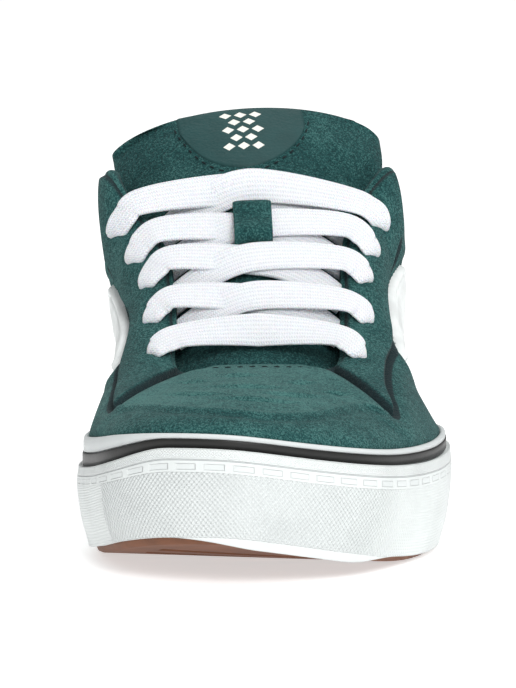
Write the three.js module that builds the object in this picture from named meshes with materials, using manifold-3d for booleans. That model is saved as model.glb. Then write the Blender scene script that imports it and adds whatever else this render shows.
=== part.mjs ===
// A low padded skate sneaker, left shoe: the toe points to -Y, the outer side of the foot is +X, +Z is up.
// Millimetres. The origin is on the floor, in the middle of the shoe's length and width.
import * as THREE from "three";
import { mergeVertices } from "three/addons/utils/BufferGeometryUtils.js";
import Module from "manifold-3d";

const wasm = await Module();
wasm.setup();

// Sole sizes
const LENGTH = 302; // heel to toe tip
const BALL_WIDTH = 116; // across the sole at the ball of the foot
const SOLE_WALL = 35; // floor to the top edge of the rubber sidewall, at the ball
const TOE_SPRING = 13.8; // how far the toe tip is lifted
const SPRING_RUN = 86; // length of the lifted part of the sole
const SPRING_SKEW = 0.28; // the inner side of the toe lifts sooner than the outer side
const ARCH = 1.5; // hollow under the waist
const OUTSOLE_THICK = 4;
const SOLE_EDGE = 1.6; // bevel round the bottom
const TREAD_DEPTH = 1.8;
const TREAD_BAR = 8; // width of a tread bar
const TREAD_GROOVE = 5; // gap between two bars
const TREAD_RIM = 15; // plain border round the bars, from the sole's outline
const BAND_THICK = 2; // textured outer band
const SIDE_TAPER = 3.6; // how far the band draws in from its widest line to the floor
const TAPE_HEIGHT = 1.8; // white edge above the dark stripe
const TAPE_ROUND = 0.7;
const STRIPE_HEIGHT = 3;
const STRIPE_THICK = 0.9;
const TAPE_STEP = 2; // the top edge stands back from the band by this
const CUP_WALL = 3.4; // where the upper meets the top edge, from the outline
const CUP_FOOT = 6.4; // the same at the floor of the cup
const CUP_FLOOR_TOE = 12; // floor to the inside of the cup at the forefoot
const CUP_FLOOR_HEEL = 19;
const INSOLE_THICK = 5;

// Upper sizes
const UPPER_RISE = 75; // top of the sidewall to the front corners of the collar
const UPPER_WALL = 2.4;
const COLLAR_PAD = 6; // extra thickness of the padded collar
const LIP_SHARE = 0.3; // how far the rounded edge of the opening stands out, a share of its wall
const EYESTAY_THICK = 1.6;
const PANEL_THICK = 1.8;
const EYELET_BORE = 4.4;
const TONGUE_WIDTH = 90;
const TONGUE_THICK = 19;
const TONGUE_TWIST = 4; // degrees, the outer end of its top edge is higher
const LABEL_WIDTH = 40;
const LABEL_SHIFT = -1.5; // the label sits this far towards the inner side
const LABEL_THICK = 0.9;
const LOOP_WIDTH = 12;
const LOOP_THICK = 1.4;
const LOOP_LENGTH = 15.5;
const TONGUE_RUN = 128; // length of the tongue along its outer face
const LACE_WIDTH = 9.8;
const LACE_THICK = 2;
const CLEARANCE = 0.3; // between two pieces that touch

const HALF_LENGTH = LENGTH / 2;
const HALF_BALL = BALL_WIDTH / 2;
const AROUND = 54; // steps round the shoe

// The sole's outline, from the heel round the outer side to the toe and back:
// along is a share of the length from the heel, side a share of half the ball width.
const OUTLINE = [
  { along: 0, side: 0 },
  { along: 0.03, side: 0.39 },
  { along: 0.1, side: 0.63 },
  { along: 0.19, side: 0.71 },
  { along: 0.4, side: 0.74 },
  { along: 0.54, side: 0.89 },
  { along: 0.65, side: 1 },
  { along: 0.76, side: 0.95 },
  { along: 0.86, side: 0.74 },
  { along: 0.945, side: 0.42 },
  { along: 1, side: -0.2 },
  { along: 0.972, side: -0.64 },
  { along: 0.918, side: -0.87 },
  { along: 0.83, side: -0.975 },
  { along: 0.73, side: -1 },
  { along: 0.54, side: -0.83 },
  { along: 0.4, side: -0.68 },
  { along: 0.19, side: -0.69 },
  { along: 0.1, side: -0.62 },
  { along: 0.03, side: -0.38 },
];

// Height of the sidewall along the shoe, as a share of its height at the ball.
const WALL_HEIGHT = [
  { along: 0, height: 1.03 },
  { along: 0.25, height: 0.92 },
  { along: 0.45, height: 0.9 },
  { along: 0.66, height: 1.01 },
  { along: 0.8, height: 1.01 },
  { along: 0.9, height: 0.97 },
  { along: 1, height: 0.92 },
];

// The upper's profiles, one row for each place round the shoe. Each rises from the sidewall's top edge.
// lean and up place its first bend: outward, a share of half the ball width, and up, a share of the rise.
// brow is its second bend and edge its end on the opening: side, along, and lift above the sidewall.
// pad is the share of the collar's padding.
const PROFILES = [
  { at: 0, pad: 1, lean: 0.05, up: 0.2, brow: [0, 0.02, 0.5], edge: [0, 0.034, 0.71] },
  { at: 0.05, pad: 1, lean: 0.04, up: 0.2, brow: [0.45, 0.066, 0.49], edge: [0.37, 0.076, 0.7] },
  { at: 0.1, pad: 1, lean: 0.03, up: 0.2, brow: [0.62, 0.168, 0.42], edge: [0.55, 0.168, 0.61] },
  { at: 0.15, pad: 1, lean: 0, up: 0.19, brow: [0.655, 0.285, 0.36], edge: [0.63, 0.28, 0.54] },
  { at: 0.2, pad: 1, lean: -0.04, up: 0.21, brow: [0.775, 0.385, 0.49], edge: [0.76, 0.36, 0.68] },
  { at: 0.23, pad: 0.45, lean: -0.07, up: 0.24, brow: [0.87, 0.455, 0.65], edge: [0.82, 0.425, 0.87] },
  { at: 0.25, pad: 0.25, lean: -0.11, up: 0.24, brow: [0.875, 0.5, 0.81], edge: [0.74, 0.485, 1.01] },
  { at: 0.275, pad: 0.1, lean: -0.16, up: 0.19, brow: [0.75, 0.545, 0.76], edge: [0.56, 0.525, 0.88] },
  { at: 0.305, pad: 0, lean: -0.18, up: 0.16, brow: [0.685, 0.61, 0.57], edge: [0.46, 0.575, 0.71] },
  { at: 0.34, pad: 0, lean: -0.07, up: 0.11, brow: [0.655, 0.67, 0.36], edge: [0.43, 0.645, 0.477] },
  { at: 0.385, pad: 0, lean: -0.02, up: 0.09, brow: [0.57, 0.765, 0.243], edge: [0.38, 0.716, 0.29] },
  { at: 0.44, pad: 0, lean: 0, up: 0.107, brow: [0.24, 0.83, 0.25], edge: [0.17, 0.727, 0.297] },
  { at: 0.5, pad: 0, lean: 0, up: 0.107, brow: [-0.086, 0.87, 0.272], edge: [-0.043, 0.728, 0.3] },
  { at: 0.555, pad: 0, lean: 0, up: 0.107, brow: [-0.39, 0.85, 0.26], edge: [-0.26, 0.727, 0.295] },
  { at: 0.61, pad: 0, lean: 0, up: 0.12, brow: [-0.66, 0.775, 0.253], edge: [-0.465, 0.716, 0.275] },
  { at: 0.66, pad: 0, lean: -0.03, up: 0.12, brow: [-0.69, 0.665, 0.37], edge: [-0.465, 0.645, 0.477] },
  { at: 0.695, pad: 0, lean: -0.08, up: 0.14, brow: [-0.665, 0.6, 0.57], edge: [-0.5, 0.575, 0.707] },
  { at: 0.725, pad: 0.1, lean: -0.16, up: 0.2, brow: [-0.78, 0.54, 0.74], edge: [-0.66, 0.525, 0.867] },
  { at: 0.75, pad: 0.25, lean: -0.12, up: 0.24, brow: [-0.87, 0.5, 0.78], edge: [-0.79, 0.487, 1] },
  { at: 0.77, pad: 0.45, lean: -0.08, up: 0.24, brow: [-0.87, 0.455, 0.67], edge: [-0.815, 0.425, 0.873] },
  { at: 0.8, pad: 1, lean: -0.02, up: 0.213, brow: [-0.8, 0.385, 0.493], edge: [-0.765, 0.36, 0.693] },
  { at: 0.85, pad: 1, lean: 0.01, up: 0.187, brow: [-0.67, 0.285, 0.36], edge: [-0.64, 0.28, 0.56] },
  { at: 0.9, pad: 1, lean: 0.03, up: 0.2, brow: [-0.62, 0.168, 0.42], edge: [-0.55, 0.168, 0.627] },
  { at: 0.95, pad: 1, lean: 0.04, up: 0.2, brow: [-0.45, 0.066, 0.49], edge: [-0.37, 0.076, 0.707] },
];

// The tongue's sections from its root under the throat to its free end, seen along the instep:
// along and lift place the middle of the outer face, side its centre line; width and thick are shares of
// the tongue's own sizes, and drop is how far the sides hang below the middle, a share of the width.
const TONGUE = [
  { at: 0, along: 0.75, lift: 0.17, side: -0.04, width: 0.58, thick: 0.26, drop: 0.12 },
  { at: 0.18, along: 0.685, lift: 0.37, side: -0.03, width: 0.66, thick: 0.34, drop: 0.16 },
  { at: 0.36, along: 0.62, lift: 0.61, side: -0.03, width: 0.73, thick: 0.4, drop: 0.2 },
  { at: 0.54, along: 0.558, lift: 0.83, side: -0.03, width: 0.8, thick: 0.5, drop: 0.22 },
  { at: 0.7, along: 0.5, lift: 1.01, side: -0.035, width: 0.88, thick: 0.7, drop: 0.2 },
  { at: 0.82, along: 0.46, lift: 1.13, side: -0.02, width: 0.93, thick: 0.95, drop: 0.13 },
  { at: 0.91, along: 0.432, lift: 1.205, side: -0.03, width: 0.945, thick: 0.98, drop: 0.105 },
  { at: 0.97, along: 0.416, lift: 1.24, side: -0.04, width: 0.92, thick: 0.7, drop: 0.09 },
  { at: 1, along: 0.411, lift: 1.235, side: -0.04, width: 0.78, thick: 0.05, drop: 0.085 },
];

// A smooth curve through a table's rows at the place x, for one column or one list column.
function along(rows, key, column, x, period = 0) {
  const n = rows.length;
  let i = rows.findIndex((row) => row[key] > x) - 1;
  if (i === -2) i = n - 1;
  const row = (k) => {
    if (!period) return rows[Math.min(Math.max(k, 0), n - 1)];
    return rows[((k % n) + n) % n];
  };
  const place = (k) => {
    if (period) return row(k)[key] + period * Math.floor(k / n);
    return row(k)[key] + (k < 0 ? k : Math.max(0, k - n + 1)) * 0.1;
  };
  const value = (k) => [].concat(row(k)[column]);
  const [x0, x1, x2, x3] = [place(i - 1), place(i), place(i + 1), place(i + 2)];
  const w = Math.min(Math.max((x - x1) / (x2 - x1), 0), 1);
  const out = value(i).map((_, c) => {
    const [p0, p1, p2, p3] = [i - 1, i, i + 1, i + 2].map((k) => value(k)[c]);
    const m1 = ((p2 - p0) / (x2 - x0)) * (x2 - x1);
    const m2 = ((p3 - p1) / (x3 - x1)) * (x2 - x1);
    const [w2, w3] = [w * w, w * w * w];
    return (
      (2 * w3 - 3 * w2 + 1) * p1 + (w3 - 2 * w2 + w) * m1 + (3 * w2 - 2 * w3) * p2 + (w3 - w2) * m2
    );
  });
  return Array.isArray(rows[0][column]) ? out : out[0];
}

const mix = (a, b, w) => a + (b - a) * w;
const smooth = (from, to, x) => THREE.MathUtils.smoothstep(x, from, to);
const yAt = (share) => HALF_LENGTH - share * LENGTH;
const shareAt = (y) => (HALF_LENGTH - y) / LENGTH;

// The sole's own surfaces

const outline = new THREE.CatmullRomCurve3(
  OUTLINE.map((row) => new THREE.Vector3(row.side * HALF_BALL, yAt(row.along), 0)),
  true,
  "centripetal",
);
outline.arcLengthDivisions = 1200;

const planCache = new Map();
function planPoint(s) {
  const key = ((s % 1) + 1) % 1;
  if (!planCache.has(key)) {
    const p = outline.getPointAt(key);
    const t = outline.getTangentAt(key);
    planCache.set(key, { x: p.x, y: p.y, nx: -t.y, ny: t.x });
  }
  return planCache.get(key);
}

// A point of the outline drawn in by inset, and then towards the middle of the sole by share.
function plan(s, inset, share = 1) {
  const p = planPoint(s);
  const q = planPoint(1 - s);
  const [x, y] = [p.x - p.nx * inset, p.y - p.ny * inset];
  const middle = THREE.MathUtils.clamp(y, yAt(0.86), yAt(0.13));
  return [mix((p.x + q.x) / 2, x, share), mix(middle, y, share)];
}

// How far the whole sole is lifted at a place: nothing under the foot, then the toe spring.
function rise(x, y) {
  const reach = y + HALF_LENGTH + SPRING_SKEW * (x + 0.18 * HALF_BALL);
  const w = Math.max(0, 1 - reach / SPRING_RUN);
  return TOE_SPRING * w * w;
}

const wallTop = (y) => SOLE_WALL * along(WALL_HEIGHT, "along", "height", shareAt(y));
const cupFloor = (y) => mix(CUP_FLOOR_HEEL, CUP_FLOOR_TOE, smooth(0.3, 0.6, shareAt(y)));
const archLift = (y) => ARCH * Math.sin(Math.PI * smooth(0.24, 0.58, shareAt(y))) ** 2;
const stripeTop = (y) => wallTop(y) - TAPE_HEIGHT;
const bandTop = (y) => stripeTop(y) - STRIPE_HEIGHT;

// A ring of points round the sole, at an inset and a height above the lifted sole.
function ring(inset, height, share = 1) {
  return Array.from({ length: AROUND }, (_, i) => {
    const [x, y] = plan(i / AROUND, inset, share);
    const z = typeof height === "function" ? height(y) : height;
    return new THREE.Vector3(x, y, z + rise(x, y));
  });
}

// The upper's own surface

// A point at s round the shoe and t up the upper, from the cup's floor to the opening's edge.
const RIM_SHARE = 0.15; // share of t that stands inside the sole's cup
const profileCache = new Map();
function profileAt(s) {
  const key = ((s % 1) + 1) % 1;
  if (profileCache.has(key)) return profileCache.get(key);
  const row = (column) => along(PROFILES, "at", column, key, 1);
  const place = ([side, share, lift]) =>
    new THREE.Vector3(side * HALF_BALL, yAt(share), SOLE_WALL + lift * UPPER_RISE);
  const inner = plan(key, CUP_FOOT + CLEARANCE);
  const outer = plan(key, CUP_WALL + CLEARANCE);
  const foot = new THREE.Vector3(...inner, cupFloor(inner[1]) + rise(...inner) + CLEARANCE);
  const rim = new THREE.Vector3(...outer, wallTop(outer[1]) + rise(...outer));
  const { nx, ny } = planPoint(key);
  const lean = row("lean") * HALF_BALL;
  const bend = rim.clone().add(new THREE.Vector3(nx * lean, ny * lean, row("up") * UPPER_RISE));
  const curve = new THREE.CubicBezierCurve3(rim, bend, place(row("brow")), place(row("edge")));
  const profile = { foot, rim, curve, pad: row("pad") };
  profileCache.set(key, profile);
  return profile;
}

function upperSkin(s, t) {
  const { foot, rim, curve } = profileAt(s);
  if (t < RIM_SHARE) return foot.clone().lerp(rim, t / RIM_SHARE);
  return curve.getPoint((t - RIM_SHARE) / (1 - RIM_SHARE));
}

function upperNormal(s, t) {
  const [ds, dt] = [0.004, 0.01];
  const [t0, t1] = [Math.max(t - dt, 0), Math.min(t + dt, 1)];
  const a = upperSkin(s + ds, t).sub(upperSkin(s - ds, t));
  const b = upperSkin(s, t1).sub(upperSkin(s, t0));
  return b.cross(a).normalize();
}

// A point off the upper's outer face by out, or under it where out is negative.
function onUpper(s, t, out = 0) {
  return upperSkin(s, t).addScaledVector(upperNormal(s, t), out);
}

function wallAt(s, t) {
  return UPPER_WALL + COLLAR_PAD * profileAt(s).pad * smooth(0.45, 0.85, t);
}

// The tongue's own surface: v along it from the root, u across it from -1, the inner side, to 1.
function tongueAt(v, u, out = 0) {
  const row = (column, at = v) => along(TONGUE, "at", column, at);
  const centre = (at) => new THREE.Vector3(
    row("side", at) * HALF_BALL,
    yAt(row("along", at)),
    SOLE_WALL + row("lift", at) * UPPER_RISE,
  );
  const step = 0.03;
  const run = centre(Math.min(v + step, 1)).sub(centre(Math.max(v - step, 0))).normalize();
  const across = new THREE.Vector3(1, 0, 0);
  across.applyAxisAngle(run, THREE.MathUtils.degToRad(-TONGUE_TWIST * v));
  const up = across.clone().cross(run).normalize();
  const width = row("width") * TONGUE_WIDTH;
  const sag = row("drop") * width * u * u;
  return centre(v).addScaledVector(across, (u * width) / 2).addScaledVector(up, out - sag);
}

// The pad swells between its edges. Its outer face follows the curve above and its edge lies a little
// under it; most of the padding is behind, towards the foot.
const TONGUE_EDGE = 0.32; // depth of the edge below the outer face, a share of the thickness
const TONGUE_FLAT = 3.5; // the outer face is this flat across, where 2 is an ellipse
const TONGUE_PLUMP = 2;
function tongueFace(v, u, side) {
  const thick = along(TONGUE, "at", "thick", v) * TONGUE_THICK;
  const round = Math.sqrt(Math.max(0, 1 - Math.abs(u) ** (side > 0 ? TONGUE_FLAT : TONGUE_PLUMP)));
  if (side > 0) return tongueAt(v, u, thick * TONGUE_EDGE * (round - 1));
  return tongueAt(v, u, -thick * (TONGUE_EDGE + (1 - TONGUE_EDGE) * round));
}

// Making solids

function geometryOf(points, faces) {
  const position = faces.flat().flatMap((i) => points[i].toArray());
  const raw = new THREE.BufferGeometry();
  raw.setAttribute("position", new THREE.Float32BufferAttribute(position, 3));
  const merged = mergeVertices(raw, 1e-3);
  const index = [];
  for (let i = 0; i < merged.index.count; i += 3) {
    const [a, b, c] = [0, 1, 2].map((k) => merged.index.getX(i + k));
    if (a !== b && b !== c && c !== a) index.push(a, b, c);
  }
  merged.setIndex(index);
  return volumeOf(merged) < 0 ? turned(merged) : merged;
}

function volumeOf(geometry) {
  const p = geometry.getAttribute("position");
  const corner = (i) => new THREE.Vector3().fromBufferAttribute(p, geometry.index.getX(i));
  let six = 0;
  for (let i = 0; i < geometry.index.count; i += 3) {
    six += corner(i).dot(corner(i + 1).cross(corner(i + 2)));
  }
  return six / 6;
}

function turned(geometry) {
  const index = [...geometry.index.array];
  for (let i = 0; i < index.length; i += 3) [index[i], index[i + 1]] = [index[i + 1], index[i]];
  return geometry.setIndex(index);
}

// Rings of equal length, each joined to the next. A looped stack comes back to its first ring;
// otherwise its first and last rings are closed across, each point to the one opposite.
function ringSolid(rings, looped) {
  const n = rings[0].length;
  const faces = [];
  const last = looped ? rings.length : rings.length - 1;
  for (let k = 0; k < last; k++) {
    const [lower, upper] = [k * n, ((k + 1) % rings.length) * n];
    for (let i = 0; i < n; i++) {
      const j = (i + 1) % n;
      faces.push([lower + i, lower + j, upper + j], [lower + i, upper + j, upper + i]);
    }
  }
  if (!looped) {
    for (const [start, flip] of [[0, true], [(rings.length - 1) * n, false]]) {
      for (let i = 0; i < n / 2; i++) {
        const quad = [i, i + 1, n - i - 1, (n - i) % n].map((k) => start + k);
        if (flip) quad.reverse();
        faces.push([quad[0], quad[1], quad[2]], [quad[0], quad[2], quad[3]]);
      }
    }
  }
  return geometryOf(rings.flat(), faces);
}

// Two sheets of nu by nv squares, joined along their borders: at(u, v, side) with side 1 or -1.
function sheetSolid(nu, nv, at) {
  const points = [];
  for (const side of [1, -1]) {
    for (let j = 0; j <= nv; j++) {
      for (let i = 0; i <= nu; i++) points.push(at(i / nu, j / nv, side));
    }
  }
  const sheet = (nu + 1) * (nv + 1);
  const id = (i, j) => j * (nu + 1) + i;
  const faces = [];
  const quad = (a, b, c, d) => faces.push([a, b, c], [a, c, d]);
  for (let j = 0; j < nv; j++) {
    for (let i = 0; i < nu; i++) {
      const [a, b, c, d] = [id(i, j), id(i + 1, j), id(i + 1, j + 1), id(i, j + 1)];
      quad(a, b, c, d);
      quad(sheet + a, sheet + d, sheet + c, sheet + b);
    }
  }
  const border = [];
  for (let i = 0; i < nu; i++) border.push([id(i, 0), id(i + 1, 0)]);
  for (let j = 0; j < nv; j++) border.push([id(nu, j), id(nu, j + 1)]);
  for (let i = nu; i > 0; i--) border.push([id(i, nv), id(i - 1, nv)]);
  for (let j = nv; j > 0; j--) border.push([id(0, j), id(0, j - 1)]);
  for (const [a, b] of border) quad(b, a, sheet + a, sheet + b);
  return geometryOf(points, faces);
}

const solidOf = (geometry) => new wasm.Manifold(new wasm.Mesh({
  numProp: 3,
  vertProperties: geometry.getAttribute("position").array,
  triVerts: new Uint32Array(geometry.index.array),
}));

function geometryFrom(solid) {
  const mesh = solid.getMesh();
  const geometry = new THREE.BufferGeometry();
  geometry.setAttribute("position", new THREE.BufferAttribute(mesh.vertProperties, 3));
  geometry.setIndex([...mesh.triVerts]);
  return geometry;
}

// Finishes

const finish = (color, roughness) => new THREE.MeshStandardMaterial({ color, roughness, metalness: 0 });
const gum = () => finish("#a06a4c", 0.7);
const whiteRubber = () => finish("#edf1f0", 0.5);
const blackRubber = () => finish("#3a3836", 0.55);
const greenSuede = () => finish("#2d5f5a", 0.95);
const greenLeather = () => finish("#2c504d", 0.5);
const whiteLeather = () => finish("#eaeeea", 0.45);
const whiteLace = () => finish("#f0f2f6", 0.9);
const foamLining = () => finish("#2b3b3a", 0.9);

const shoe = new THREE.Group();
function piece(name, geometry, material) {
  const mesh = new THREE.Mesh(geometry, material);
  mesh.name = name;
  shoe.add(mesh);
  return mesh;
}

// Sole pieces

const OUTSOLE_EDGE = SIDE_TAPER + BAND_THICK + CLEARANCE;
const CORE = 0.3; // share of the way out at which the flat faces inside the sole are closed across

// Cross bars stand between pockets, inside a plain rim.
function treadPockets() {
  const pockets = [];
  const pitch = TREAD_BAR + TREAD_GROOVE;
  const count = Math.floor((LENGTH - 2 * TREAD_RIM) / pitch);
  const start = -((count - 1) * pitch) / 2;
  for (let k = 0; k < count; k++) {
    const y = start + k * pitch;
    const [left, right] = [y - TREAD_GROOVE / 2, y + TREAD_GROOVE / 2].map(rimAt).reduce(
      (a, b) => [Math.max(a[0], b[0]), Math.min(a[1], b[1])],
    );
    if (right - left < 2 * TREAD_RIM) continue;
    const box = new THREE.BoxGeometry(right - left, TREAD_GROOVE, 1, 4, 1, 1);
    box.translate((left + right) / 2, y, 0);
    const p = box.getAttribute("position");
    for (let i = 0; i < p.count; i++) {
      const [x, at] = [p.getX(i), p.getY(i)];
      const ceiling = rise(x, at) + archLift(at) + TREAD_DEPTH;
      p.setZ(i, p.getZ(i) > 0 ? ceiling : -OUTSOLE_THICK);
    }
    box.deleteAttribute("normal");
    box.deleteAttribute("uv");
    pockets.push(solidOf(mergeVertices(box, 1e-3)));
  }
  return pockets;
}

// The inner edge of the tread's rim on both sides at a place along the sole.
function rimAt(y) {
  const sides = [Infinity, -Infinity];
  for (const half of [0, 1]) {
    let best = null;
    for (let i = 0; i <= AROUND; i++) {
      const s = (half + i / AROUND) / 2;
      const [x, at] = plan(s, TREAD_RIM);
      if (!best || Math.abs(at - y) < best.miss) best = { x, miss: Math.abs(at - y) };
    }
    sides[half] = best.x;
  }
  return [sides[1], sides[0]];
}

function outsole() {
  const body = ringSolid([
    ring(OUTSOLE_EDGE + SOLE_EDGE, archLift, CORE),
    ring(OUTSOLE_EDGE + SOLE_EDGE, archLift),
    ring(OUTSOLE_EDGE, (y) => SOLE_EDGE + archLift(y) / 2),
    ring(OUTSOLE_EDGE, OUTSOLE_THICK),
    ring(OUTSOLE_EDGE, OUTSOLE_THICK, CORE),
  ]);
  let solid = solidOf(body);
  for (const pocket of treadPockets()) solid = solid.subtract(pocket);
  return geometryFrom(solid);
}

// The outer band's face: taper is a share of SIDE_TAPER, height a share of the band's own height.
const BAND_FACE = [
  { taper: 1, height: 0.06 },
  { taper: 0.45, height: 0.3 },
  { taper: 0.1, height: 0.6 },
  { taper: 0, height: 0.82 },
  { taper: 0.14, height: 1 },
];

function bandRings(back) {
  return BAND_FACE.map((row) => {
    const shift = row.taper * SIDE_TAPER + back;
    return ring(shift, (y) => row.height * bandTop(y));
  });
}

function foxingBand() {
  return ringSolid([...bandRings(0), ...bandRings(BAND_THICK).reverse()], true);
}

const CUP_BACK = BAND_THICK + CLEARANCE; // the cup's face behind the band

function midsole() {
  const base = OUTSOLE_THICK + CLEARANCE;
  const face = bandRings(CUP_BACK).slice(1);
  const stripeBack = TAPE_STEP + STRIPE_THICK;
  return ringSolid([
    ring(OUTSOLE_EDGE, base, CORE),
    ring(OUTSOLE_EDGE, base),
    ...face.slice(0, -1),
    ring(stripeBack, bandTop),
    ring(stripeBack, (y) => stripeTop(y) + CLEARANCE),
    ring(TAPE_STEP, (y) => stripeTop(y) + CLEARANCE),
    ring(TAPE_STEP, (y) => wallTop(y) - TAPE_ROUND),
    ring(TAPE_STEP + TAPE_ROUND, wallTop),
    ring(CUP_WALL, wallTop),
    ring(CUP_FOOT, cupFloor),
    ring(CUP_FOOT, cupFloor, CORE),
  ]);
}

function foxingStripe() {
  const [front, back] = [TAPE_STEP - CLEARANCE, TAPE_STEP - CLEARANCE + STRIPE_THICK];
  const low = (y) => bandTop(y) + CLEARANCE;
  return ringSolid([ring(front, low), ring(front, stripeTop), ring(back, stripeTop), ring(back, low)], true);
}

function insole() {
  const edge = CUP_FOOT + UPPER_WALL + 3 * CLEARANCE;
  const low = (y) => cupFloor(y) + CLEARANCE;
  const high = (y) => cupFloor(y) + CLEARANCE + INSOLE_THICK;
  return ringSolid([
    ring(edge, low, CORE),
    ring(edge, low),
    ring(edge, high),
    ring(edge, high, CORE),
  ]);
}

// Upper pieces

const UPPER_ROWS = [0, RIM_SHARE, 0.22, 0.3, 0.4, 0.5, 0.6, 0.7, 0.8, 0.9, 1];

function upperShell() {
  const row = (t, deep) => Array.from({ length: AROUND }, (_, i) => {
    const s = i / AROUND;
    return onUpper(s, t, deep ? -wallAt(s, t) : 0);
  });
  // The edge of the opening is rounded over between the outer and the inner face.
  const lip = (turn) => Array.from({ length: AROUND }, (_, i) => {
    const s = i / AROUND;
    const wall = wallAt(s, 1);
    const over = upperSkin(s, 1).sub(upperSkin(s, 0.97)).normalize();
    return onUpper(s, 1, (-wall * (1 - Math.cos(turn))) / 2)
      .addScaledVector(over, LIP_SHARE * wall * Math.sin(turn));
  });
  const outer = UPPER_ROWS.map((t) => row(t, false));
  const inner = UPPER_ROWS.map((t) => row(t, true)).reverse();
  return ringSolid([...outer, lip(Math.PI / 3), lip((2 * Math.PI) / 3), ...inner], true);
}

// The two eyestays: s at the toe seam and at the collar, and the low edge's t between them.
// Each row of lacing crosses the flap's edge at s = edge and ends in an eyelet at s = hole, t = deep.
const EYESTAYS = {
  lateral: {
    toe: 0.396,
    back: 0.25,
    low: [
      { at: 0, low: 0.48 },
      { at: 0.13, low: 0.66 },
      { at: 0.3, low: 0.7 },
      { at: 0.55, low: 0.63 },
      { at: 0.72, low: 0.665 },
      { at: 0.88, low: 0.675 },
      { at: 1, low: 0.74 },
    ],
    rows: [
      { edge: 0.362, hole: 0.366, deep: 0.865 },
      { edge: 0.336, hole: 0.334, deep: 0.83 },
      { edge: 0.314, hole: 0.309, deep: 0.83 },
      { edge: 0.295, hole: 0.289, deep: 0.81 },
      { edge: 0.28, hole: 0.27, deep: 0.815 },
    ],
  },
  medial: {
    toe: 0.604,
    back: 0.755,
    low: [
      { at: 0, low: 0.44 },
      { at: 0.2, low: 0.56 },
      { at: 0.34, low: 0.59 },
      { at: 0.56, low: 0.65 },
      { at: 0.82, low: 0.61 },
      { at: 1, low: 0.67 },
    ],
    rows: [
      { edge: 0.6385, hole: 0.639, deep: 0.83 },
      { edge: 0.6665, hole: 0.667, deep: 0.82 },
      { edge: 0.6865, hole: 0.692, deep: 0.8 },
      { edge: 0.703, hole: 0.713, deep: 0.785 },
      { edge: 0.7205, hole: 0.736, deep: 0.785 },
    ],
  },
};
const EYESTAY_EDGE_T = 0.985;

// A layer over the upper's own facets, cut to the outline that edge(u) gives as its low and high t.
function overlay(from, to, thick, edge) {
  const [first, last] = [Math.min(from, to), Math.max(from, to)];
  const [i0, i1] = [Math.floor(first * AROUND - 0.01), Math.ceil(last * AROUND + 0.01)];
  const rows = UPPER_ROWS.slice(1);
  const layer = sheetSolid(i1 - i0, rows.length - 1, (u, v, face) => {
    const t = rows[Math.round(v * (rows.length - 1))];
    return onUpper(mix(i0, i1, u) / AROUND, t, face > 0 ? CLEARANCE + thick : CLEARANCE);
  });
  const cutter = sheetSolid(12, 4, (u, v, face) => {
    const [low, high] = edge(u);
    return onUpper(mix(from, to, u), mix(low, high, v), face > 0 ? 2 * COLLAR_PAD : -CLEARANCE);
  });
  return geometryFrom(solidOf(layer).intersect(solidOf(cutter)));
}

function eyestay(side) {
  const { toe, back, low } = EYESTAYS[side];
  const edge = (u) => [along(low, "at", "low", u), EYESTAY_EDGE_T];
  return overlay(toe, back, EYESTAY_THICK, edge);
}

// A punched hole through a flap and its eyestay, square to the surface.
function eyeletCutter({ hole, deep: t }) {
  const normal = upperNormal(hole, t);
  const reach = 3 * (UPPER_WALL + COLLAR_PAD);
  const pin = new THREE.CylinderGeometry(EYELET_BORE / 2, EYELET_BORE / 2, reach, 8);
  const turn = new THREE.Quaternion().setFromUnitVectors(new THREE.Vector3(0, 1, 0), normal);
  pin.applyQuaternion(turn);
  pin.translate(...upperSkin(hole, t).toArray());
  pin.deleteAttribute("normal");
  pin.deleteAttribute("uv");
  return solidOf(mergeVertices(pin, 1e-3));
}

function punched(geometry, sides) {
  let solid = solidOf(geometry);
  for (const side of sides) {
    for (const row of EYESTAYS[side].rows) solid = solid.subtract(eyeletCutter(row));
  }
  return geometryFrom(solid);
}

// Plain padded panels on the two quarters, behind the eyestays: s and t at their corners.
const SIDE_PANELS = {
  lateral: {
    front: 0.318,
    back: 0.2,
    edges: [
      { at: 0, low: 0.51, high: 0.55 },
      { at: 0.14, low: 0.45, high: 0.6 },
      { at: 0.4, low: 0.4, high: 0.635 },
      { at: 0.88, low: 0.4, high: 0.66 },
      { at: 1, low: 0.46, high: 0.6 },
    ],
  },
  medial: {
    front: 0.676,
    back: 0.8,
    edges: [
      { at: 0, low: 0.5, high: 0.57 },
      { at: 0.14, low: 0.45, high: 0.61 },
      { at: 0.42, low: 0.4, high: 0.58 },
      { at: 0.88, low: 0.4, high: 0.64 },
      { at: 1, low: 0.46, high: 0.58 },
    ],
  },
};

function sidePanel(side) {
  const { front, back, edges } = SIDE_PANELS[side];
  const edge = (u) => [along(edges, "at", "low", u), along(edges, "at", "high", u)];
  return overlay(front, back, PANEL_THICK, edge);
}

// Tongue pieces

function tongue() {
  return sheetSolid(12, 12, (u, v, side) => {
    const across = Math.sin(((2 * u - 1) * Math.PI) / 2);
    return tongueFace(v, across, side);
  });
}

// A D-shaped label at the top of the tongue, its straight edge at the tongue's end.
const LABEL_TOP_V = 0.96;
const LABEL_LOW_V = 0.71;

function tongueLabel() {
  return sheetSolid(10, 4, (u, v, face) => {
    const bow = Math.sqrt(1 - (2 * u - 1) ** 2 * 0.96);
    const low = mix(LABEL_TOP_V - 0.02, LABEL_LOW_V, bow);
    const width = along(TONGUE, "at", "width", LABEL_TOP_V) * TONGUE_WIDTH;
    const across = ((2 * u - 1) * LABEL_WIDTH + 2 * LABEL_SHIFT) / width;
    const out = face > 0 ? CLEARANCE + LABEL_THICK : CLEARANCE;
    return tongueAt(mix(low, LABEL_TOP_V, v), across, out);
  });
}

// Laces and the loop that keeps them in the middle

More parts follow.
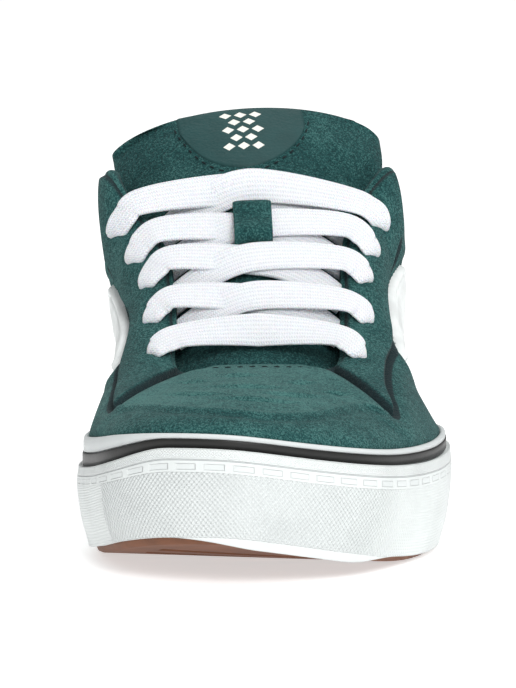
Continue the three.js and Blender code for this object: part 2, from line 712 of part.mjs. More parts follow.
// A flat band along points, each with the direction that its face looks.
function flatBand(stops, width, thick, steps) {
  const path = new THREE.CatmullRomCurve3(stops.map((stop) => stop.point), false, "centripetal");
  const faceAt = (w) => {
    const x = w * (stops.length - 1);
    const i = Math.min(Math.floor(x), stops.length - 2);
    return stops[i].face.clone().lerp(stops[i + 1].face, x - i).normalize();
  };
  const rim = [[-0.5, 0], [-0.42, 0.5], [0.42, 0.5], [0.5, 0], [0.42, -0.5], [-0.42, -0.5]];
  const rings = Array.from({ length: steps + 1 }, (_, k) => {
    const w = k / steps;
    const run = path.getTangent(w);
    const side = faceAt(w).cross(run).normalize();
    const face = run.clone().cross(side).normalize();
    return rim.map(([a, b]) => path.getPoint(w)
      .addScaledVector(side, a * width)
      .addScaledVector(face, b * thick));
  });
  return ringSolid(rings);
}

const LACE_LIFT = CLEARANCE + LACE_THICK / 2;
const LACE_OVER_FLAP = 2.5 * CLEARANCE + EYESTAY_THICK + LACE_LIFT;
const LACE_OVER_EDGE = 2; // the lace bends over the flap's edge by this much more
const LACE_SLACK = 1; // a crossed lace hangs over the tongue by this much more
const LACE_SPAN = 3.4; // the straight bar's height over the middle of the tongue
const LACE_SINK = 0.85; // one lace presses this share of its thickness over another

// Where each row of lacing crosses the tongue, along it from the root.
const ROW_V = [0.212, 0.306, 0.42, 0.518, 0.645];

function eyeletStop(side, k) {
  const { hole, deep } = EYESTAYS[side].rows[k];
  return { point: onUpper(hole, deep, LACE_OVER_FLAP), face: upperNormal(hole, deep) };
}

function flapEdgeStop(side, k) {
  const { edge } = EYESTAYS[side].rows[k];
  return { point: onUpper(edge, 1, LACE_OVER_FLAP + LACE_OVER_EDGE), face: upperNormal(edge, 0.98) };
}

function tongueStop(v, u, out) {
  const normal = tongueAt(v, u, 1).sub(tongueAt(v, u, 0)).normalize();
  return { point: tongueAt(v, u, out), face: normal };
}

function straightRow() {
  const stops = [
    eyeletStop("medial", 0),
    flapEdgeStop("medial", 0),
    tongueStop(ROW_V[0], 0, LACE_LIFT + LACE_SPAN),
    flapEdgeStop("lateral", 0),
    eyeletStop("lateral", 0),
  ];
  return flatBand(stops, LACE_WIDTH, LACE_THICK, 14);
}

// One band of a crossing: from beside one flap, over the tongue, over the other flap to its eyelet.
function crossingBand(from, to, k, over) {
  const start = from === "medial" ? -1 : 1;
  const [low, high] = [ROW_V[k - 1], ROW_V[k]];
  const stack = over * LACE_THICK * LACE_SINK;
  const stops = [
    tongueStop(mix(low, high, 0.5), start * 0.6, LACE_LIFT + LACE_SLACK),
    tongueStop(mix(low, high, 0.78), start * 0.3, LACE_LIFT + LACE_SLACK + stack / 2),
    tongueStop(mix(low, high, 0.95), 0, LACE_LIFT + LACE_SLACK + stack),
    flapEdgeStop(to, k),
    eyeletStop(to, k),
  ];
  return flatBand(stops, LACE_WIDTH, LACE_THICK, 9);
}

function crossedRow(k) {
  const under = solidOf(crossingBand("lateral", "medial", k, 0));
  const over = solidOf(crossingBand("medial", "lateral", k, 1));
  return geometryFrom(under.add(over));
}

// The short strap on the tongue that the fourth row's crossing passes under.
function laceLoop() {
  const middle = ROW_V[3];
  const reach = LOOP_LENGTH / 2 / TONGUE_RUN;
  const foot = CLEARANCE + LOOP_THICK / 2;
  const height = foot + 2 * LACE_THICK + 5 * CLEARANCE;
  const stops = [-1, -0.92, -0.76, 0, 0.76, 0.92, 1].map((w) => {
    const raised = Math.abs(w) < 0.8 ? height : foot + (Math.abs(w) < 0.95 ? height * 0.35 : 0);
    return tongueStop(middle + w * reach, 0, raised);
  });
  return flatBand(stops, LOOP_WIDTH, LOOP_THICK, 14);
}

piece("outsole", outsole(), gum());
piece("midsole", midsole(), whiteRubber());
piece("foxing_band", foxingBand(), whiteRubber());
piece("foxing_stripe", foxingStripe(), blackRubber());
piece("insole", insole(), foamLining());
piece("upper", punched(upperShell(), ["lateral", "medial"]), greenSuede());
for (const side of ["lateral", "medial"]) {
  piece("eyestay_" + side, punched(eyestay(side), [side]), greenSuede());
  piece("side_panel_" + side, sidePanel(side), whiteLeather());
}
piece("tongue", tongue(), greenSuede());
piece("tongue_label", tongueLabel(), greenLeather());
piece("lace_loop", laceLoop(), greenSuede());
piece("lace_row_1", straightRow(), whiteLace());
for (let k = 1; k < ROW_V.length; k++) piece("lace_row_" + (k + 1), crossedRow(k), whiteLace());

export default shoe;
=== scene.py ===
"""A low padded skate sneaker for the left foot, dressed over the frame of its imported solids."""

import math

import bmesh
import bpy
import numpy as np
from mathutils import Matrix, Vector


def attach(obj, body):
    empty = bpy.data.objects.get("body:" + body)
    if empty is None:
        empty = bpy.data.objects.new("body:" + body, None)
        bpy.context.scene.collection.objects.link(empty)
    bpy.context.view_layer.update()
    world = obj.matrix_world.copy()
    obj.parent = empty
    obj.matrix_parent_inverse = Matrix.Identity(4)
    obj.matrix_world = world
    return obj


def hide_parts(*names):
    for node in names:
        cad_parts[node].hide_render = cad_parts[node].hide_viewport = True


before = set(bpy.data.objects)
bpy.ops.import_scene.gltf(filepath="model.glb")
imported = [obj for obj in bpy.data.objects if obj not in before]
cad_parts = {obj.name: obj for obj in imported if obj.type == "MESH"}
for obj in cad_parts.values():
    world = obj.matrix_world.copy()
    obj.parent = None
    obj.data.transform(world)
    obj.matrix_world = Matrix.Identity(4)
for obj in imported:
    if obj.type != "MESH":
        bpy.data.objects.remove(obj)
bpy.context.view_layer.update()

MM = 0.001

# Camera: a low front view from a little to the inner side, aimed at a floor point behind the toe tip.
CAMERA_TARGET = (-2.3, -66, 0)
CAMERA_DISTANCE = 2484.2
CAMERA_DOWN = 8
CAMERA_SIDE = 3
CAMERA_TILT = 1.452
CAMERA_LENS = 562.9


def camera():
    data = bpy.data.cameras.new("camera")
    data.sensor_fit = "HORIZONTAL"
    data.sensor_width = 36
    data.lens = CAMERA_LENS
    data.clip_start = 0.1
    data.clip_end = 20
    item = bpy.data.objects.new("camera", data)
    bpy.context.scene.collection.objects.link(item)

    def look(down):
        side, down = math.radians(CAMERA_SIDE), math.radians(down)
        return Vector((math.sin(side) * math.cos(down), math.cos(side) * math.cos(down), -math.sin(down)))

    item.location = (Vector(CAMERA_TARGET) - look(CAMERA_DOWN) * CAMERA_DISTANCE) * MM
    item.rotation_euler = look(CAMERA_DOWN - CAMERA_TILT).to_track_quat("-Z", "Y").to_euler()
    bpy.context.scene.camera = item


camera()

# Sizes in millimetres, as the solids have them
LENGTH = 302
BALL_WIDTH = 116
SOLE_WALL = 35
TOE_SPRING = 13.8
SPRING_RUN = 86
SPRING_SKEW = 0.28
ARCH = 1.5
OUTSOLE_THICK = 4
SOLE_EDGE = 1.6
TREAD_DEPTH = 1.8
TREAD_BAR = 8
TREAD_GROOVE = 5
TREAD_RIM = 15
BAND_THICK = 2
SIDE_TAPER = 3.6
TAPE_HEIGHT = 1.8
TAPE_ROUND = 0.7
STRIPE_HEIGHT = 3
STRIPE_THICK = 0.9
TAPE_STEP = 2
CUP_WALL = 3.4
CUP_FOOT = 6.4
CUP_FLOOR_TOE = 12
CUP_FLOOR_HEEL = 19
INSOLE_THICK = 5
UPPER_RISE = 75
UPPER_WALL = 2.4
COLLAR_PAD = 6
LIP_SHARE = 0.3
EYESTAY_THICK = 1.6
PANEL_THICK = 1.8
TONGUE_WIDTH = 90
TONGUE_THICK = 19
TONGUE_TWIST = 4
LABEL_WIDTH = 40
LABEL_SHIFT = -1.5
LABEL_THICK = 0.9
LOOP_WIDTH = 12
LOOP_THICK = 1.4
LOOP_LENGTH = 15.5
TONGUE_RUN = 128
LACE_WIDTH = 9.8
LACE_THICK = 2
CLEARANCE = 0.3

HALF_LENGTH = LENGTH / 2
HALF_BALL = BALL_WIDTH / 2
OUTSOLE_EDGE = SIDE_TAPER + BAND_THICK + CLEARANCE
RIM_SHARE = 0.15

# The sole's outline from the heel round the outer side: shares of the length and of half the ball width.
OUTLINE = [
    (0, 0), (0.03, 0.39), (0.1, 0.63), (0.19, 0.71), (0.4, 0.74), (0.54, 0.89), (0.65, 1),
    (0.76, 0.95), (0.86, 0.74), (0.945, 0.42), (1, -0.2), (0.972, -0.64), (0.918, -0.87),
    (0.83, -0.975), (0.73, -1), (0.54, -0.83), (0.4, -0.68), (0.19, -0.69), (0.1, -0.62), (0.03, -0.38),
]
WALL_HEIGHT = [(0, 1.03), (0.25, 0.92), (0.45, 0.9), (0.66, 1.01), (0.8, 1.01), (0.9, 0.97), (1, 0.92)]

# The upper's profiles: at, pad, lean, up, then brow and edge, each side, along and lift.
PROFILES = [
    (0, 1, 0.05, 0.2, 0, 0.02, 0.5, 0, 0.034, 0.71),
    (0.05, 1, 0.04, 0.2, 0.45, 0.066, 0.49, 0.37, 0.076, 0.7),
    (0.1, 1, 0.03, 0.2, 0.62, 0.168, 0.42, 0.55, 0.168, 0.61),
    (0.15, 1, 0, 0.19, 0.655, 0.285, 0.36, 0.63, 0.28, 0.54),
    (0.2, 1, -0.04, 0.21, 0.775, 0.385, 0.49, 0.76, 0.36, 0.68),
    (0.23, 0.45, -0.07, 0.24, 0.87, 0.455, 0.65, 0.82, 0.425, 0.87),
    (0.25, 0.25, -0.11, 0.24, 0.875, 0.5, 0.81, 0.74, 0.485, 1.01),
    (0.275, 0.1, -0.16, 0.19, 0.75, 0.545, 0.76, 0.56, 0.525, 0.88),
    (0.305, 0, -0.18, 0.16, 0.685, 0.61, 0.57, 0.46, 0.575, 0.71),
    (0.34, 0, -0.07, 0.11, 0.655, 0.67, 0.36, 0.43, 0.645, 0.477),
    (0.385, 0, -0.02, 0.09, 0.57, 0.765, 0.243, 0.38, 0.716, 0.29),
    (0.44, 0, 0, 0.107, 0.24, 0.83, 0.25, 0.17, 0.727, 0.297),
    (0.5, 0, 0, 0.107, -0.086, 0.87, 0.272, -0.043, 0.728, 0.3),
    (0.555, 0, 0, 0.107, -0.39, 0.85, 0.26, -0.26, 0.727, 0.295),
    (0.61, 0, 0, 0.12, -0.66, 0.775, 0.253, -0.465, 0.716, 0.275),
    (0.66, 0, -0.03, 0.12, -0.69, 0.665, 0.37, -0.465, 0.645, 0.477),
    (0.695, 0, -0.08, 0.14, -0.665, 0.6, 0.57, -0.5, 0.575, 0.707),
    (0.725, 0.1, -0.16, 0.2, -0.78, 0.54, 0.74, -0.66, 0.525, 0.867),
    (0.75, 0.25, -0.12, 0.24, -0.87, 0.5, 0.78, -0.79, 0.487, 1),
    (0.77, 0.45, -0.08, 0.24, -0.87, 0.455, 0.67, -0.815, 0.425, 0.873),
    (0.8, 1, -0.02, 0.213, -0.8, 0.385, 0.493, -0.765, 0.36, 0.693),
    (0.85, 1, 0.01, 0.187, -0.67, 0.285, 0.36, -0.64, 0.28, 0.56),
    (0.9, 1, 0.03, 0.2, -0.62, 0.168, 0.42, -0.55, 0.168, 0.627),
    (0.95, 1, 0.04, 0.2, -0.45, 0.066, 0.49, -0.37, 0.076, 0.707),
]

# The tongue's sections: at, along, lift, side, width, thick, drop.
TONGUE = [
    (0, 0.75, 0.17, -0.04, 0.58, 0.26, 0.12),
    (0.18, 0.685, 0.37, -0.03, 0.66, 0.34, 0.16),
    (0.36, 0.62, 0.61, -0.03, 0.73, 0.4, 0.2),
    (0.54, 0.558, 0.83, -0.03, 0.8, 0.5, 0.22),
    (0.7, 0.5, 1.01, -0.035, 0.88, 0.7, 0.2),
    (0.82, 0.46, 1.13, -0.02, 0.93, 0.95, 0.13),
    (0.91, 0.432, 1.205, -0.03, 0.945, 0.98, 0.105),
    (0.97, 0.416, 1.24, -0.04, 0.92, 0.7, 0.09),
    (1, 0.411, 1.235, -0.04, 0.78, 0.05, 0.085),
]
TONGUE_EDGE = 0.32


# Curves and surfaces


def mix(a, b, w):
    return a + (b - a) * w


def smooth(low, high, x):
    w = np.clip((x - low) / (high - low), 0, 1)
    return w * w * (3 - 2 * w)


def unit(a):
    return a / np.maximum(np.linalg.norm(a, axis=-1, keepdims=True), 1e-9)


def column(a):
    return np.reshape(a, (-1, 1))


def y_at(share):
    return HALF_LENGTH - share * LENGTH


def share_at(y):
    return (HALF_LENGTH - y) / LENGTH


class Table:
    """A smooth curve through rows of numbers, the first of each row being its place."""

    def __init__(self, rows, period=0):
        rows = np.array(rows, float)
        at, values = rows[:, 0], rows[:, 1:]
        self.period = period
        if period:
            self.at = np.concatenate([[at[-1] - period], at, at[:2] + period])
            self.values = np.concatenate([values[-1:], values, values[:2]])
        else:
            self.at = np.concatenate([[at[0] - 0.1], at, [at[-1] + 0.1]])
            self.values = np.concatenate([values[:1], values, values[-1:]])

    def __call__(self, x):
        x = np.atleast_1d(np.asarray(x, float))
        if self.period:
            x = np.mod(x, self.period)
        i = np.clip(np.searchsorted(self.at, x, side="right") - 1, 1, len(self.at) - 3)
        x0, x1, x2, x3 = (column(self.at[i + k]) for k in (-1, 0, 1, 2))
        p0, p1, p2, p3 = (self.values[i + k] for k in (-1, 0, 1, 2))
        w = np.clip((column(x) - x1) / (x2 - x1), 0, 1)
        m1 = (p2 - p0) / (x2 - x0) * (x2 - x1)
        m2 = (p3 - p1) / (x3 - x1) * (x2 - x1)
        w2, w3 = w * w, w * w * w
        out = (2 * w3 - 3 * w2 + 1) * p1 + (w3 - 2 * w2 + w) * m1 + (3 * w2 - 2 * w3) * p2 + (w3 - w2) * m2
        return out[:, 0] if out.shape[1] == 1 else out


class Spline:
    """A smooth curve through points, at equal steps of its own length from 0 to 1."""

    def __init__(self, points, closed=False):
        p = np.array(points, float)
        if closed:
            self.p = np.concatenate([p[-1:], p, p[:2]])
        else:
            self.p = np.concatenate([[2 * p[0] - p[1]], p, [2 * p[-1] - p[-2]]])
        self.spans = len(self.p) - 3
        self.fine = np.linspace(0, self.spans, 4001)
        steps = np.linalg.norm(np.diff(self.raw(self.fine)[0], axis=0), axis=1)
        self.length = steps.sum()
        self.run = np.concatenate([[0], np.cumsum(steps)]) / self.length

    def raw(self, q):
        i = np.clip(np.floor(q).astype(int), 0, self.spans - 1)
        w = column(q - i)
        p0, p1, p2, p3 = (self.p[i + k] for k in (0, 1, 2, 3))
        pairs = ((p0, p1), (p1, p2), (p2, p3))
        gaps = [np.sqrt(np.linalg.norm(b - a, axis=1, keepdims=True)) for a, b in pairs]
        d0, d1, d2 = (np.maximum(g, 1e-3) for g in gaps)
        m1 = ((p1 - p0) / d0 - (p2 - p0) / (d0 + d1) + (p2 - p1) / d1) * d1
        m2 = ((p2 - p1) / d1 - (p3 - p1) / (d1 + d2) + (p3 - p2) / d2) * d1
        a = 2 * p1 - 2 * p2 + m1 + m2
        b = 3 * p2 - 3 * p1 - 2 * m1 - m2
        return ((a * w + b) * w + m1) * w + p1, (3 * a * w + 2 * b) * w + m1

    def at(self, s):
        point, slope = self.raw(np.interp(s, self.run, self.fine))
        return point, unit(slope)


WALL_CURVE = Table(WALL_HEIGHT)
PROFILE_CURVE = Table(PROFILES, period=1)
TONGUE_CURVE = Table(TONGUE)
SOLE_LINE = Spline([(side * HALF_BALL, y_at(along)) for along, side in OUTLINE], closed=True)
SOLE_ROUND = SOLE_LINE.length


def sole_edge(s):
    point, run = SOLE_LINE.at(np.mod(s, 1))
    return point, np.stack([-run[:, 1], run[:, 0]], 1)


def plan(s, inset, share=1.0):
    p, n = sole_edge(s)
    q, _ = sole_edge(1 - s)
    edge = p - n * column(inset)
    middle = np.stack([(p[:, 0] + q[:, 0]) / 2, np.clip(edge[:, 1], y_at(0.86), y_at(0.13))], 1)
    return mix(middle, edge, column(share))


def rise(x, y):
    reach = y + HALF_LENGTH + SPRING_SKEW * (x + 0.18 * HALF_BALL)
    return TOE_SPRING * np.maximum(0, 1 - reach / SPRING_RUN) ** 2


def wall_top(y):
    return SOLE_WALL * WALL_CURVE(share_at(y))


def cup_floor(y):
    return mix(CUP_FLOOR_HEEL, CUP_FLOOR_TOE, smooth(0.3, 0.6, share_at(y)))


def arch_lift(y):
    return ARCH * np.sin(np.pi * smooth(0.24, 0.58, share_at(y))) ** 2


def stripe_top(y):
    return wall_top(y) - TAPE_HEIGHT


def band_top(y):
    return stripe_top(y) - STRIPE_HEIGHT


# How far the wall's lines sag on the inner side of the ball, at depths under the wall's top
SAG_DEPTHS = [0, TAPE_HEIGHT, TAPE_HEIGHT + STRIPE_HEIGHT, 28]
SAG = [0, 3.3, 4.4, 0]


def wall_sag(x, y, z, inset):
    inner = smooth(0.58, 0.97, -x / HALF_BALL) * smooth(0.35, 0.6, share_at(y))
    outside = np.clip(CUP_FOOT - 0.2 - inset, 0, 1)
    return np.interp(wall_top(y) - z, SAG_DEPTHS, SAG) * inner * outside


def on_sole(s, inset, height, share=1.0):
    """Points round the sole: height is a number, an array or a function of y."""
    x, y = plan(s, inset, share).T
    z = height(y) if callable(height) else height
    return np.column_stack([x, y, z - wall_sag(x, y, z, inset) + rise(x, y)])


def upper_frame(s):
    row = PROFILE_CURVE(s)
    _, n = sole_edge(s)

    def place(c):
        return np.stack([row[:, c] * HALF_BALL, y_at(row[:, c + 1]), SOLE_WALL + row[:, c + 2] * UPPER_RISE], 1)

    foot = on_sole(s, CUP_FOOT + CLEARANCE, cup_floor) + (0, 0, CLEARANCE)
    rim = on_sole(s, CUP_WALL + CLEARANCE, wall_top)
    lean = n * column(row[:, 1] * HALF_BALL)
    bend = rim + np.column_stack([lean, row[:, 2] * UPPER_RISE])
    return foot, rim, bend, place(3), place(6)


def upper_skin(s, t):
    foot, rim, bend, brow, edge = upper_frame(s)
    w = column(np.clip((t - RIM_SHARE) / (1 - RIM_SHARE), 0, 1))
    curve = (1 - w) ** 3 * rim + 3 * (1 - w) ** 2 * w * bend + 3 * (1 - w) * w * w * brow + w ** 3 * edge
    low = mix(foot, rim, column(t) / RIM_SHARE)
    return np.where(column(t) < RIM_SHARE, low, curve)


def upper_normal(s, t):
    ds, dt = 0.004, 0.01
    a = upper_skin(s + ds, t) - upper_skin(s - ds, t)
    b = upper_skin(s, np.minimum(t + dt, 1)) - upper_skin(s, np.maximum(t - dt, 0))
    return unit(np.cross(b, a))


def on_upper(s, t, out=0.0):
    s, t = np.broadcast_arrays(np.atleast_1d(np.asarray(s, float)), np.atleast_1d(np.asarray(t, float)))
    return upper_skin(s, t) + upper_normal(s, t) * column(out)


def upper_wall(s, t):
    pad = PROFILE_CURVE(s)[:, 0]
    return UPPER_WALL + COLLAR_PAD * pad * smooth(0.45, 0.85, t)


def tongue_centre(v):
    row = TONGUE_CURVE(v)
    return np.stack([row[:, 2] * HALF_BALL, y_at(row[:, 0]), SOLE_WALL + row[:, 1] * UPPER_RISE], 1)


def on_tongue(v, u, out=0.0):
    v, u = np.broadcast_arrays(np.atleast_1d(np.asarray(v, float)), np.atleast_1d(np.asarray(u, float)))
    row = TONGUE_CURVE(v)
    run = unit(tongue_centre(np.minimum(v + 0.03, 1)) - tongue_centre(np.maximum(v - 0.03, 0)))
    turn = column(np.radians(-TONGUE_TWIST * v))
    x = np.array([[1.0, 0, 0]])
    across = x * np.cos(turn) + np.cross(run, x) * np.sin(turn) + run * (run @ x.T) * (1 - np.cos(turn))
    up = unit(np.cross(across, run))
    width = row[:, 3] * TONGUE_WIDTH
    sag = row[:, 5] * width * u * u
    return tongue_centre(v) + across * column(u * width / 2) + up * column(out - sag)


def tongue_normal(v, u):
    return unit(on_tongue(v, u, 1.0) - on_tongue(v, u, 0.0))


# Materials


class Wire:
    """A value in a node tree, with the usual arithmetic."""

    def __init__(self, shade, socket):
        self.shade = shade
        self.socket = socket

    def math(self, operation, *others, **settings):
        inputs = dict(enumerate((self, *others)))
        return self.shade.add("ShaderNodeMath", {"operation": operation, **settings}, inputs)

    def __add__(self, other):
        return self.math("ADD", other)

    def __sub__(self, other):
        return self.math("SUBTRACT", other)

    def __rsub__(self, other):
        return (self * -1) + other

    def __mul__(self, other):
        return self.math("MULTIPLY", other)

    def __truediv__(self, other):
        return self.math("DIVIDE", other)

    def __mod__(self, other):
        return self.math("FLOORED_MODULO", other)

    __radd__ = __add__
    __rmul__ = __mul__

    def size(self):
        return self.math("ABSOLUTE")

    def least(self, other):
        return self.math("MINIMUM", other)

    def most(self, other):
        return self.math("MAXIMUM", other)

    def wave(self):
        return self.math("SINE")

    def step(self, low, high):
        """0 below low, 1 above high, and smooth between them."""
        flat = {"interpolation_type": "SMOOTHSTEP"}
        return self.shade.add("ShaderNodeMapRange", flat, {"Value": self, "From Min": low, "From Max": high})

    def ramp(self, low, high):
        """The value low where this is 0, high where it is 1."""
        return self * (high - low) + low


class Shade:
    """One material's node tree."""

    def __init__(self, name, **surface):
        self.material = bpy.data.materials.new(name)
        self.material.use_nodes = True
        self.tree = self.material.node_tree
        self.surface = self.tree.nodes["Principled BSDF"]
        for key, value in surface.items():
            self.surface.inputs[key.replace("_", " ")].default_value = value
        self.bumps = None

    def feed(self, socket, value):
        if isinstance(value, Wire):
            self.tree.links.new(value.socket, socket)
        else:
            socket.default_value = value

    def add(self, kind, settings=None, inputs=None, output=0):
        node = self.tree.nodes.new(kind)
        for key, value in (settings or {}).items():
            setattr(node, key, value)
        for key, value in (inputs or {}).items():
            self.feed(node.inputs[key], value)
        return Wire(self, node.outputs[output])

    def object_place(self):
        return self.add("ShaderNodeTexCoord", output="Object")

    def skin(self):
        """The piece's own flat coordinates, in millimetres."""
        return self.first_two(self.add("ShaderNodeUVMap", {"uv_map": "skin"}))

    def ground(self):
        """The piece's x and y, in millimetres."""
        return self.first_two(self.object_place())

    def first_two(self, place):
        x = self.add("ShaderNodeSeparateXYZ", None, {0: place}, "X")
        y = Wire(self, x.socket.node.outputs["Y"])
        return x * 1000, y * 1000

    def mark(self, name):
        return self.add("ShaderNodeAttribute", {"attribute_name": name}, None, "Fac")

    def noise(self, size, detail=2.0, place=None, rough=0.5):
        """Noise with blobs of about the given size in millimetres, from 0 to 1."""
        inputs = {"Vector": place or self.object_place(), "Scale": 1000 / size}
        return self.add("ShaderNodeTexNoise", None, {**inputs, "Detail": detail, "Roughness": rough})

    def blend(self, a, b, factor):
        inputs = {0: factor, 6: a, 7: b}
        return self.add("ShaderNodeMix", {"data_type": "RGBA"}, inputs, 2)

    def relief(self, height, depth):
        """Adds a height from 0 to 1, of depth millimetres, to what the surface shows."""
        inputs = {"Height": height, "Distance": depth * MM, "Strength": 1.0}
        if self.bumps is not None:
            inputs["Normal"] = self.bumps
        self.bumps = self.add("ShaderNodeBump", None, inputs)

    def finish(self, colour, roughness):
        self.feed(self.surface.inputs["Base Color"], colour)
        self.feed(self.surface.inputs["Roughness"], roughness)
        if self.bumps is not None:
            self.feed(self.surface.inputs["Normal"], self.bumps)
        return self.material


def waves(place, pitch):
    """A sine along a place in millimetres, from -1 to 1."""
    return (place / pitch * (2 * math.pi)).wave()


def tone(red, green, blue):
    """A colour given as it looks on a screen, from 0 to 255."""
    parts = [c / 255 for c in (red, green, blue)]
    return tuple(c / 12.92 if c <= 0.04045 else ((c + 0.055) / 1.055) ** 2.4 for c in parts) + (1.0,)


SUEDE_DARK = tone(18, 46, 47)
SUEDE_MID = tone(33, 74, 74)
SUEDE_LIT = tone(74, 120, 116)
CHARCOAL = tone(30, 42, 46)
SEAM_HALF = 2.4
# The nap's strokes, brushing, grain and pile: size, detail, roughness and share of the light
NAP = [(24, 3, 0.5, 0.14), (6, 3, 0.5, 0.1), (0.9, 2, 0.6, 0.34), (0.45, 1, 0.5, 0.36)]


def suede(name, seams=True):
    """Napped suede: light and dark strokes, a grainy pile, dark channels along its seams, and on seamed pieces
    painted light and shade from the lit mark.
    """
    shade = Shade(name, Sheen_Weight=0.06, Sheen_Roughness=0.5, Specular_IOR_Level=0.1)
    place = shade.object_place()
    strokes, brushed, grain, pile = (shade.noise(size, detail, place, rough) for size, detail, rough, _ in NAP)
    lit = sum(layer.step(0.3, 0.7) * row[3] for layer, row in zip((strokes, brushed, grain, pile), NAP))
    if seams:
        # The lit mark adds painted light: a painted highlight and painted shade across the toe box, and the
        # medial side painted lighter.
        lit = lit + shade.mark("lit")
    low = shade.blend(SUEDE_DARK, SUEDE_MID, lit * 2)
    colour = shade.blend(low, SUEDE_LIT, (lit * 2 - 1).most(0))
    if seams:
        seam = shade.mark("seam") + (brushed - 0.5) * 0.8
        colour = shade.blend(colour, CHARCOAL, (1 - seam.step(SEAM_HALF - 0.3, SEAM_HALF + 0.3)) * 0.9)
        colour = shade.blend(colour, CHARCOAL, shade.mark("dark"))
    shade.relief(brushed, 0.5)
    shade.relief(grain, 0.34)
    shade.relief(pile, 0.2)
    return shade.finish(colour, 0.95)


def leather(name, base, shine, grain_size=1.3, gloss=0.4):
    shade = Shade(name, Specular_IOR_Level=gloss)
    cells = {"Vector": shade.object_place(), "Scale": 1000 / grain_size}
    grain = shade.add("ShaderNodeTexVoronoi", {"feature": "SMOOTH_F1"}, cells)
    tint = shade.noise(9, 3)
    dark = tuple(c * 0.86 for c in base[:3]) + (1.0,)
    colour = shade.blend(dark, base, tint.step(0.3, 0.7))
    shade.relief(grain, 0.12)
    shade.relief(shade.noise(6, 2), 0.3)
    return shade, colour, tint.ramp(shine, shine + 0.12)


def smooth_leather(name, base, shine):
    shade, colour, rough = leather(name, base, shine)
    return shade.finish(colour, rough)


PRINT = tone(238, 238, 230)
PRINT_PITCH = (4.7, 4.3)
PRINT_TOP = 2.6
PRINT_ROWS = 5


def label_leather():
    """Smooth leather with a plain print of small diamonds, three and two to a row."""
    shade, colour, rough = leather("label_leather", tone(34, 72, 72), 0.48, 0.9, 0.25)
    x, y = shade.skin()
    row = (y - PRINT_TOP) / PRINT_PITCH[1]
    shift = (row.math("FLOOR") % 2) * 0.5 + 0.5
    across = x / PRINT_PITCH[0] + shift
    middle = (across.math("FLOOR") + 0.5 - shift) * PRINT_PITCH[0]
    left = (x - middle).size()
    up = (row % 1 - 0.5).size() * PRINT_PITCH[1]
    inside = 1 - (left * 1.05 + up * 1.1).step(2.0, 2.15)
    inside = inside * (1 - middle.size().step(5, 5.2)) * row.step(-0.01, 0)
    inside = inside * (1 - row.step(PRINT_ROWS, PRINT_ROWS + 0.01))
    shade.relief(inside, 0.1)
    return shade.finish(shade.blend(colour, PRINT, inside), rough)


LACE_RIB = 0.8
LACE_YARN = 1.3


def lace_cloth():
    """A flat woven lace: fine slanted ribs along it, and a soft fuzz."""
    shade = Shade("lace_cloth", Sheen_Weight=0.3, Specular_IOR_Level=0.15, Subsurface_Weight=0.12)
    shade.surface.inputs["Subsurface Scale"].default_value = 0.002
    x, y = shade.skin()
    side = (x / LACE_YARN % 1 - 0.5).size() * 2
    ribs = waves(y + side * (0.6 * LACE_RIB), LACE_RIB) * 0.5 + 0.5
    lines = waves(x, LACE_YARN) * 0.5 + 0.5
    fuzz = shade.noise(0.8, 2)
    shade.relief(ribs, 0.14)
    shade.relief(lines, 0.1)
    shade.relief(fuzz, 0.14)
    # Painted shade: the weave is painted darker in its grooves and lighter on its crests.
    shade_in = (ribs * 0.4 + lines * 0.35 + fuzz * 0.25).step(0.1, 0.75)
    colour = shade.blend(tone(222, 225, 231), tone(240, 242, 246), shade_in)
    return shade.finish(colour, 0.9)


GROOVE_AT = 3.5
DASH_TOP = 4.7
DASH_HEIGHT = 1.8
DASH_PITCH = 8.9
DASH_SHARE = 0.76
KNURL_TOP = 7.3
KNURL_FOOT = 1.4
KNURL_PITCH = (1.6, 1.7)
RIB_PITCH = 0.95
STRIP_PITCH = (1.1, 0.9)
KNIT_PITCH = 1.2


def band_rubber():
    """The toe bumper's rubber: a fine strip, a groove, dashes, a knurl in front and ribs at the sides, with
    painted shade in the groove, dashes, knurl and ribs.
    """
    shade = Shade("band_rubber", Specular_IOR_Level=0.45)
    x, y = shade.skin()
    drop = shade.mark("drop")
    ends = shade.mark("front")
    groove = 1 - (drop - GROOVE_AT).size().step(0.05, 0.3)
    in_row = drop.step(DASH_TOP - 0.1, DASH_TOP + 0.15)
    in_row = in_row * (1 - drop.step(DASH_TOP + DASH_HEIGHT - 0.15, DASH_TOP + DASH_HEIGHT + 0.1))
    place = (x / DASH_PITCH) % 1
    in_dash = place.step(0, 0.05) * (1 - place.step(DASH_SHARE - 0.08, DASH_SHARE)) * in_row
    field = drop.step(KNURL_TOP - 0.1, KNURL_TOP + 0.1) * y.step(KNURL_FOOT - 0.1, KNURL_FOOT + 0.1)
    bump = waves(x, KNURL_PITCH[0]) * waves(y, KNURL_PITCH[1]) * 0.5 + 0.5
    rib = waves(y, RIB_PITCH) * 0.5 + 0.5
    strip = (1 - drop.step(GROOVE_AT - 0.7, GROOVE_AT - 0.5)) * drop.step(0.2, 0.4)
    fine = waves(x, STRIP_PITCH[0]) * waves(drop, STRIP_PITCH[1]) * 0.5 + 0.5
    shade.relief(groove, -0.45)
    shade.relief(in_dash, -0.35)
    shade.relief(bump * field * ends, 0.5)
    shade.relief(rib * field * (1 - ends), 0.09)
    shade.relief(fine * strip, 0.22)
    soil = shade.noise(14, 3).step(0.35, 0.75)
    colour = shade.blend(tone(224, 229, 228), tone(216, 221, 220), soil)
    # Painted shade: the knurl's and ribs' hollows, the groove and the dashes are darkened towards a grey in
    # colour.
    low = (1 - bump) * field * ends * 0.5 + (1 - rib) * field * (1 - ends) * 0.12
    low = low + groove * 0.7 + in_dash * 0.25
    colour = shade.blend(colour, tone(190, 196, 198), (low * 0.6).least(1))
    return shade.finish(colour, 0.5)


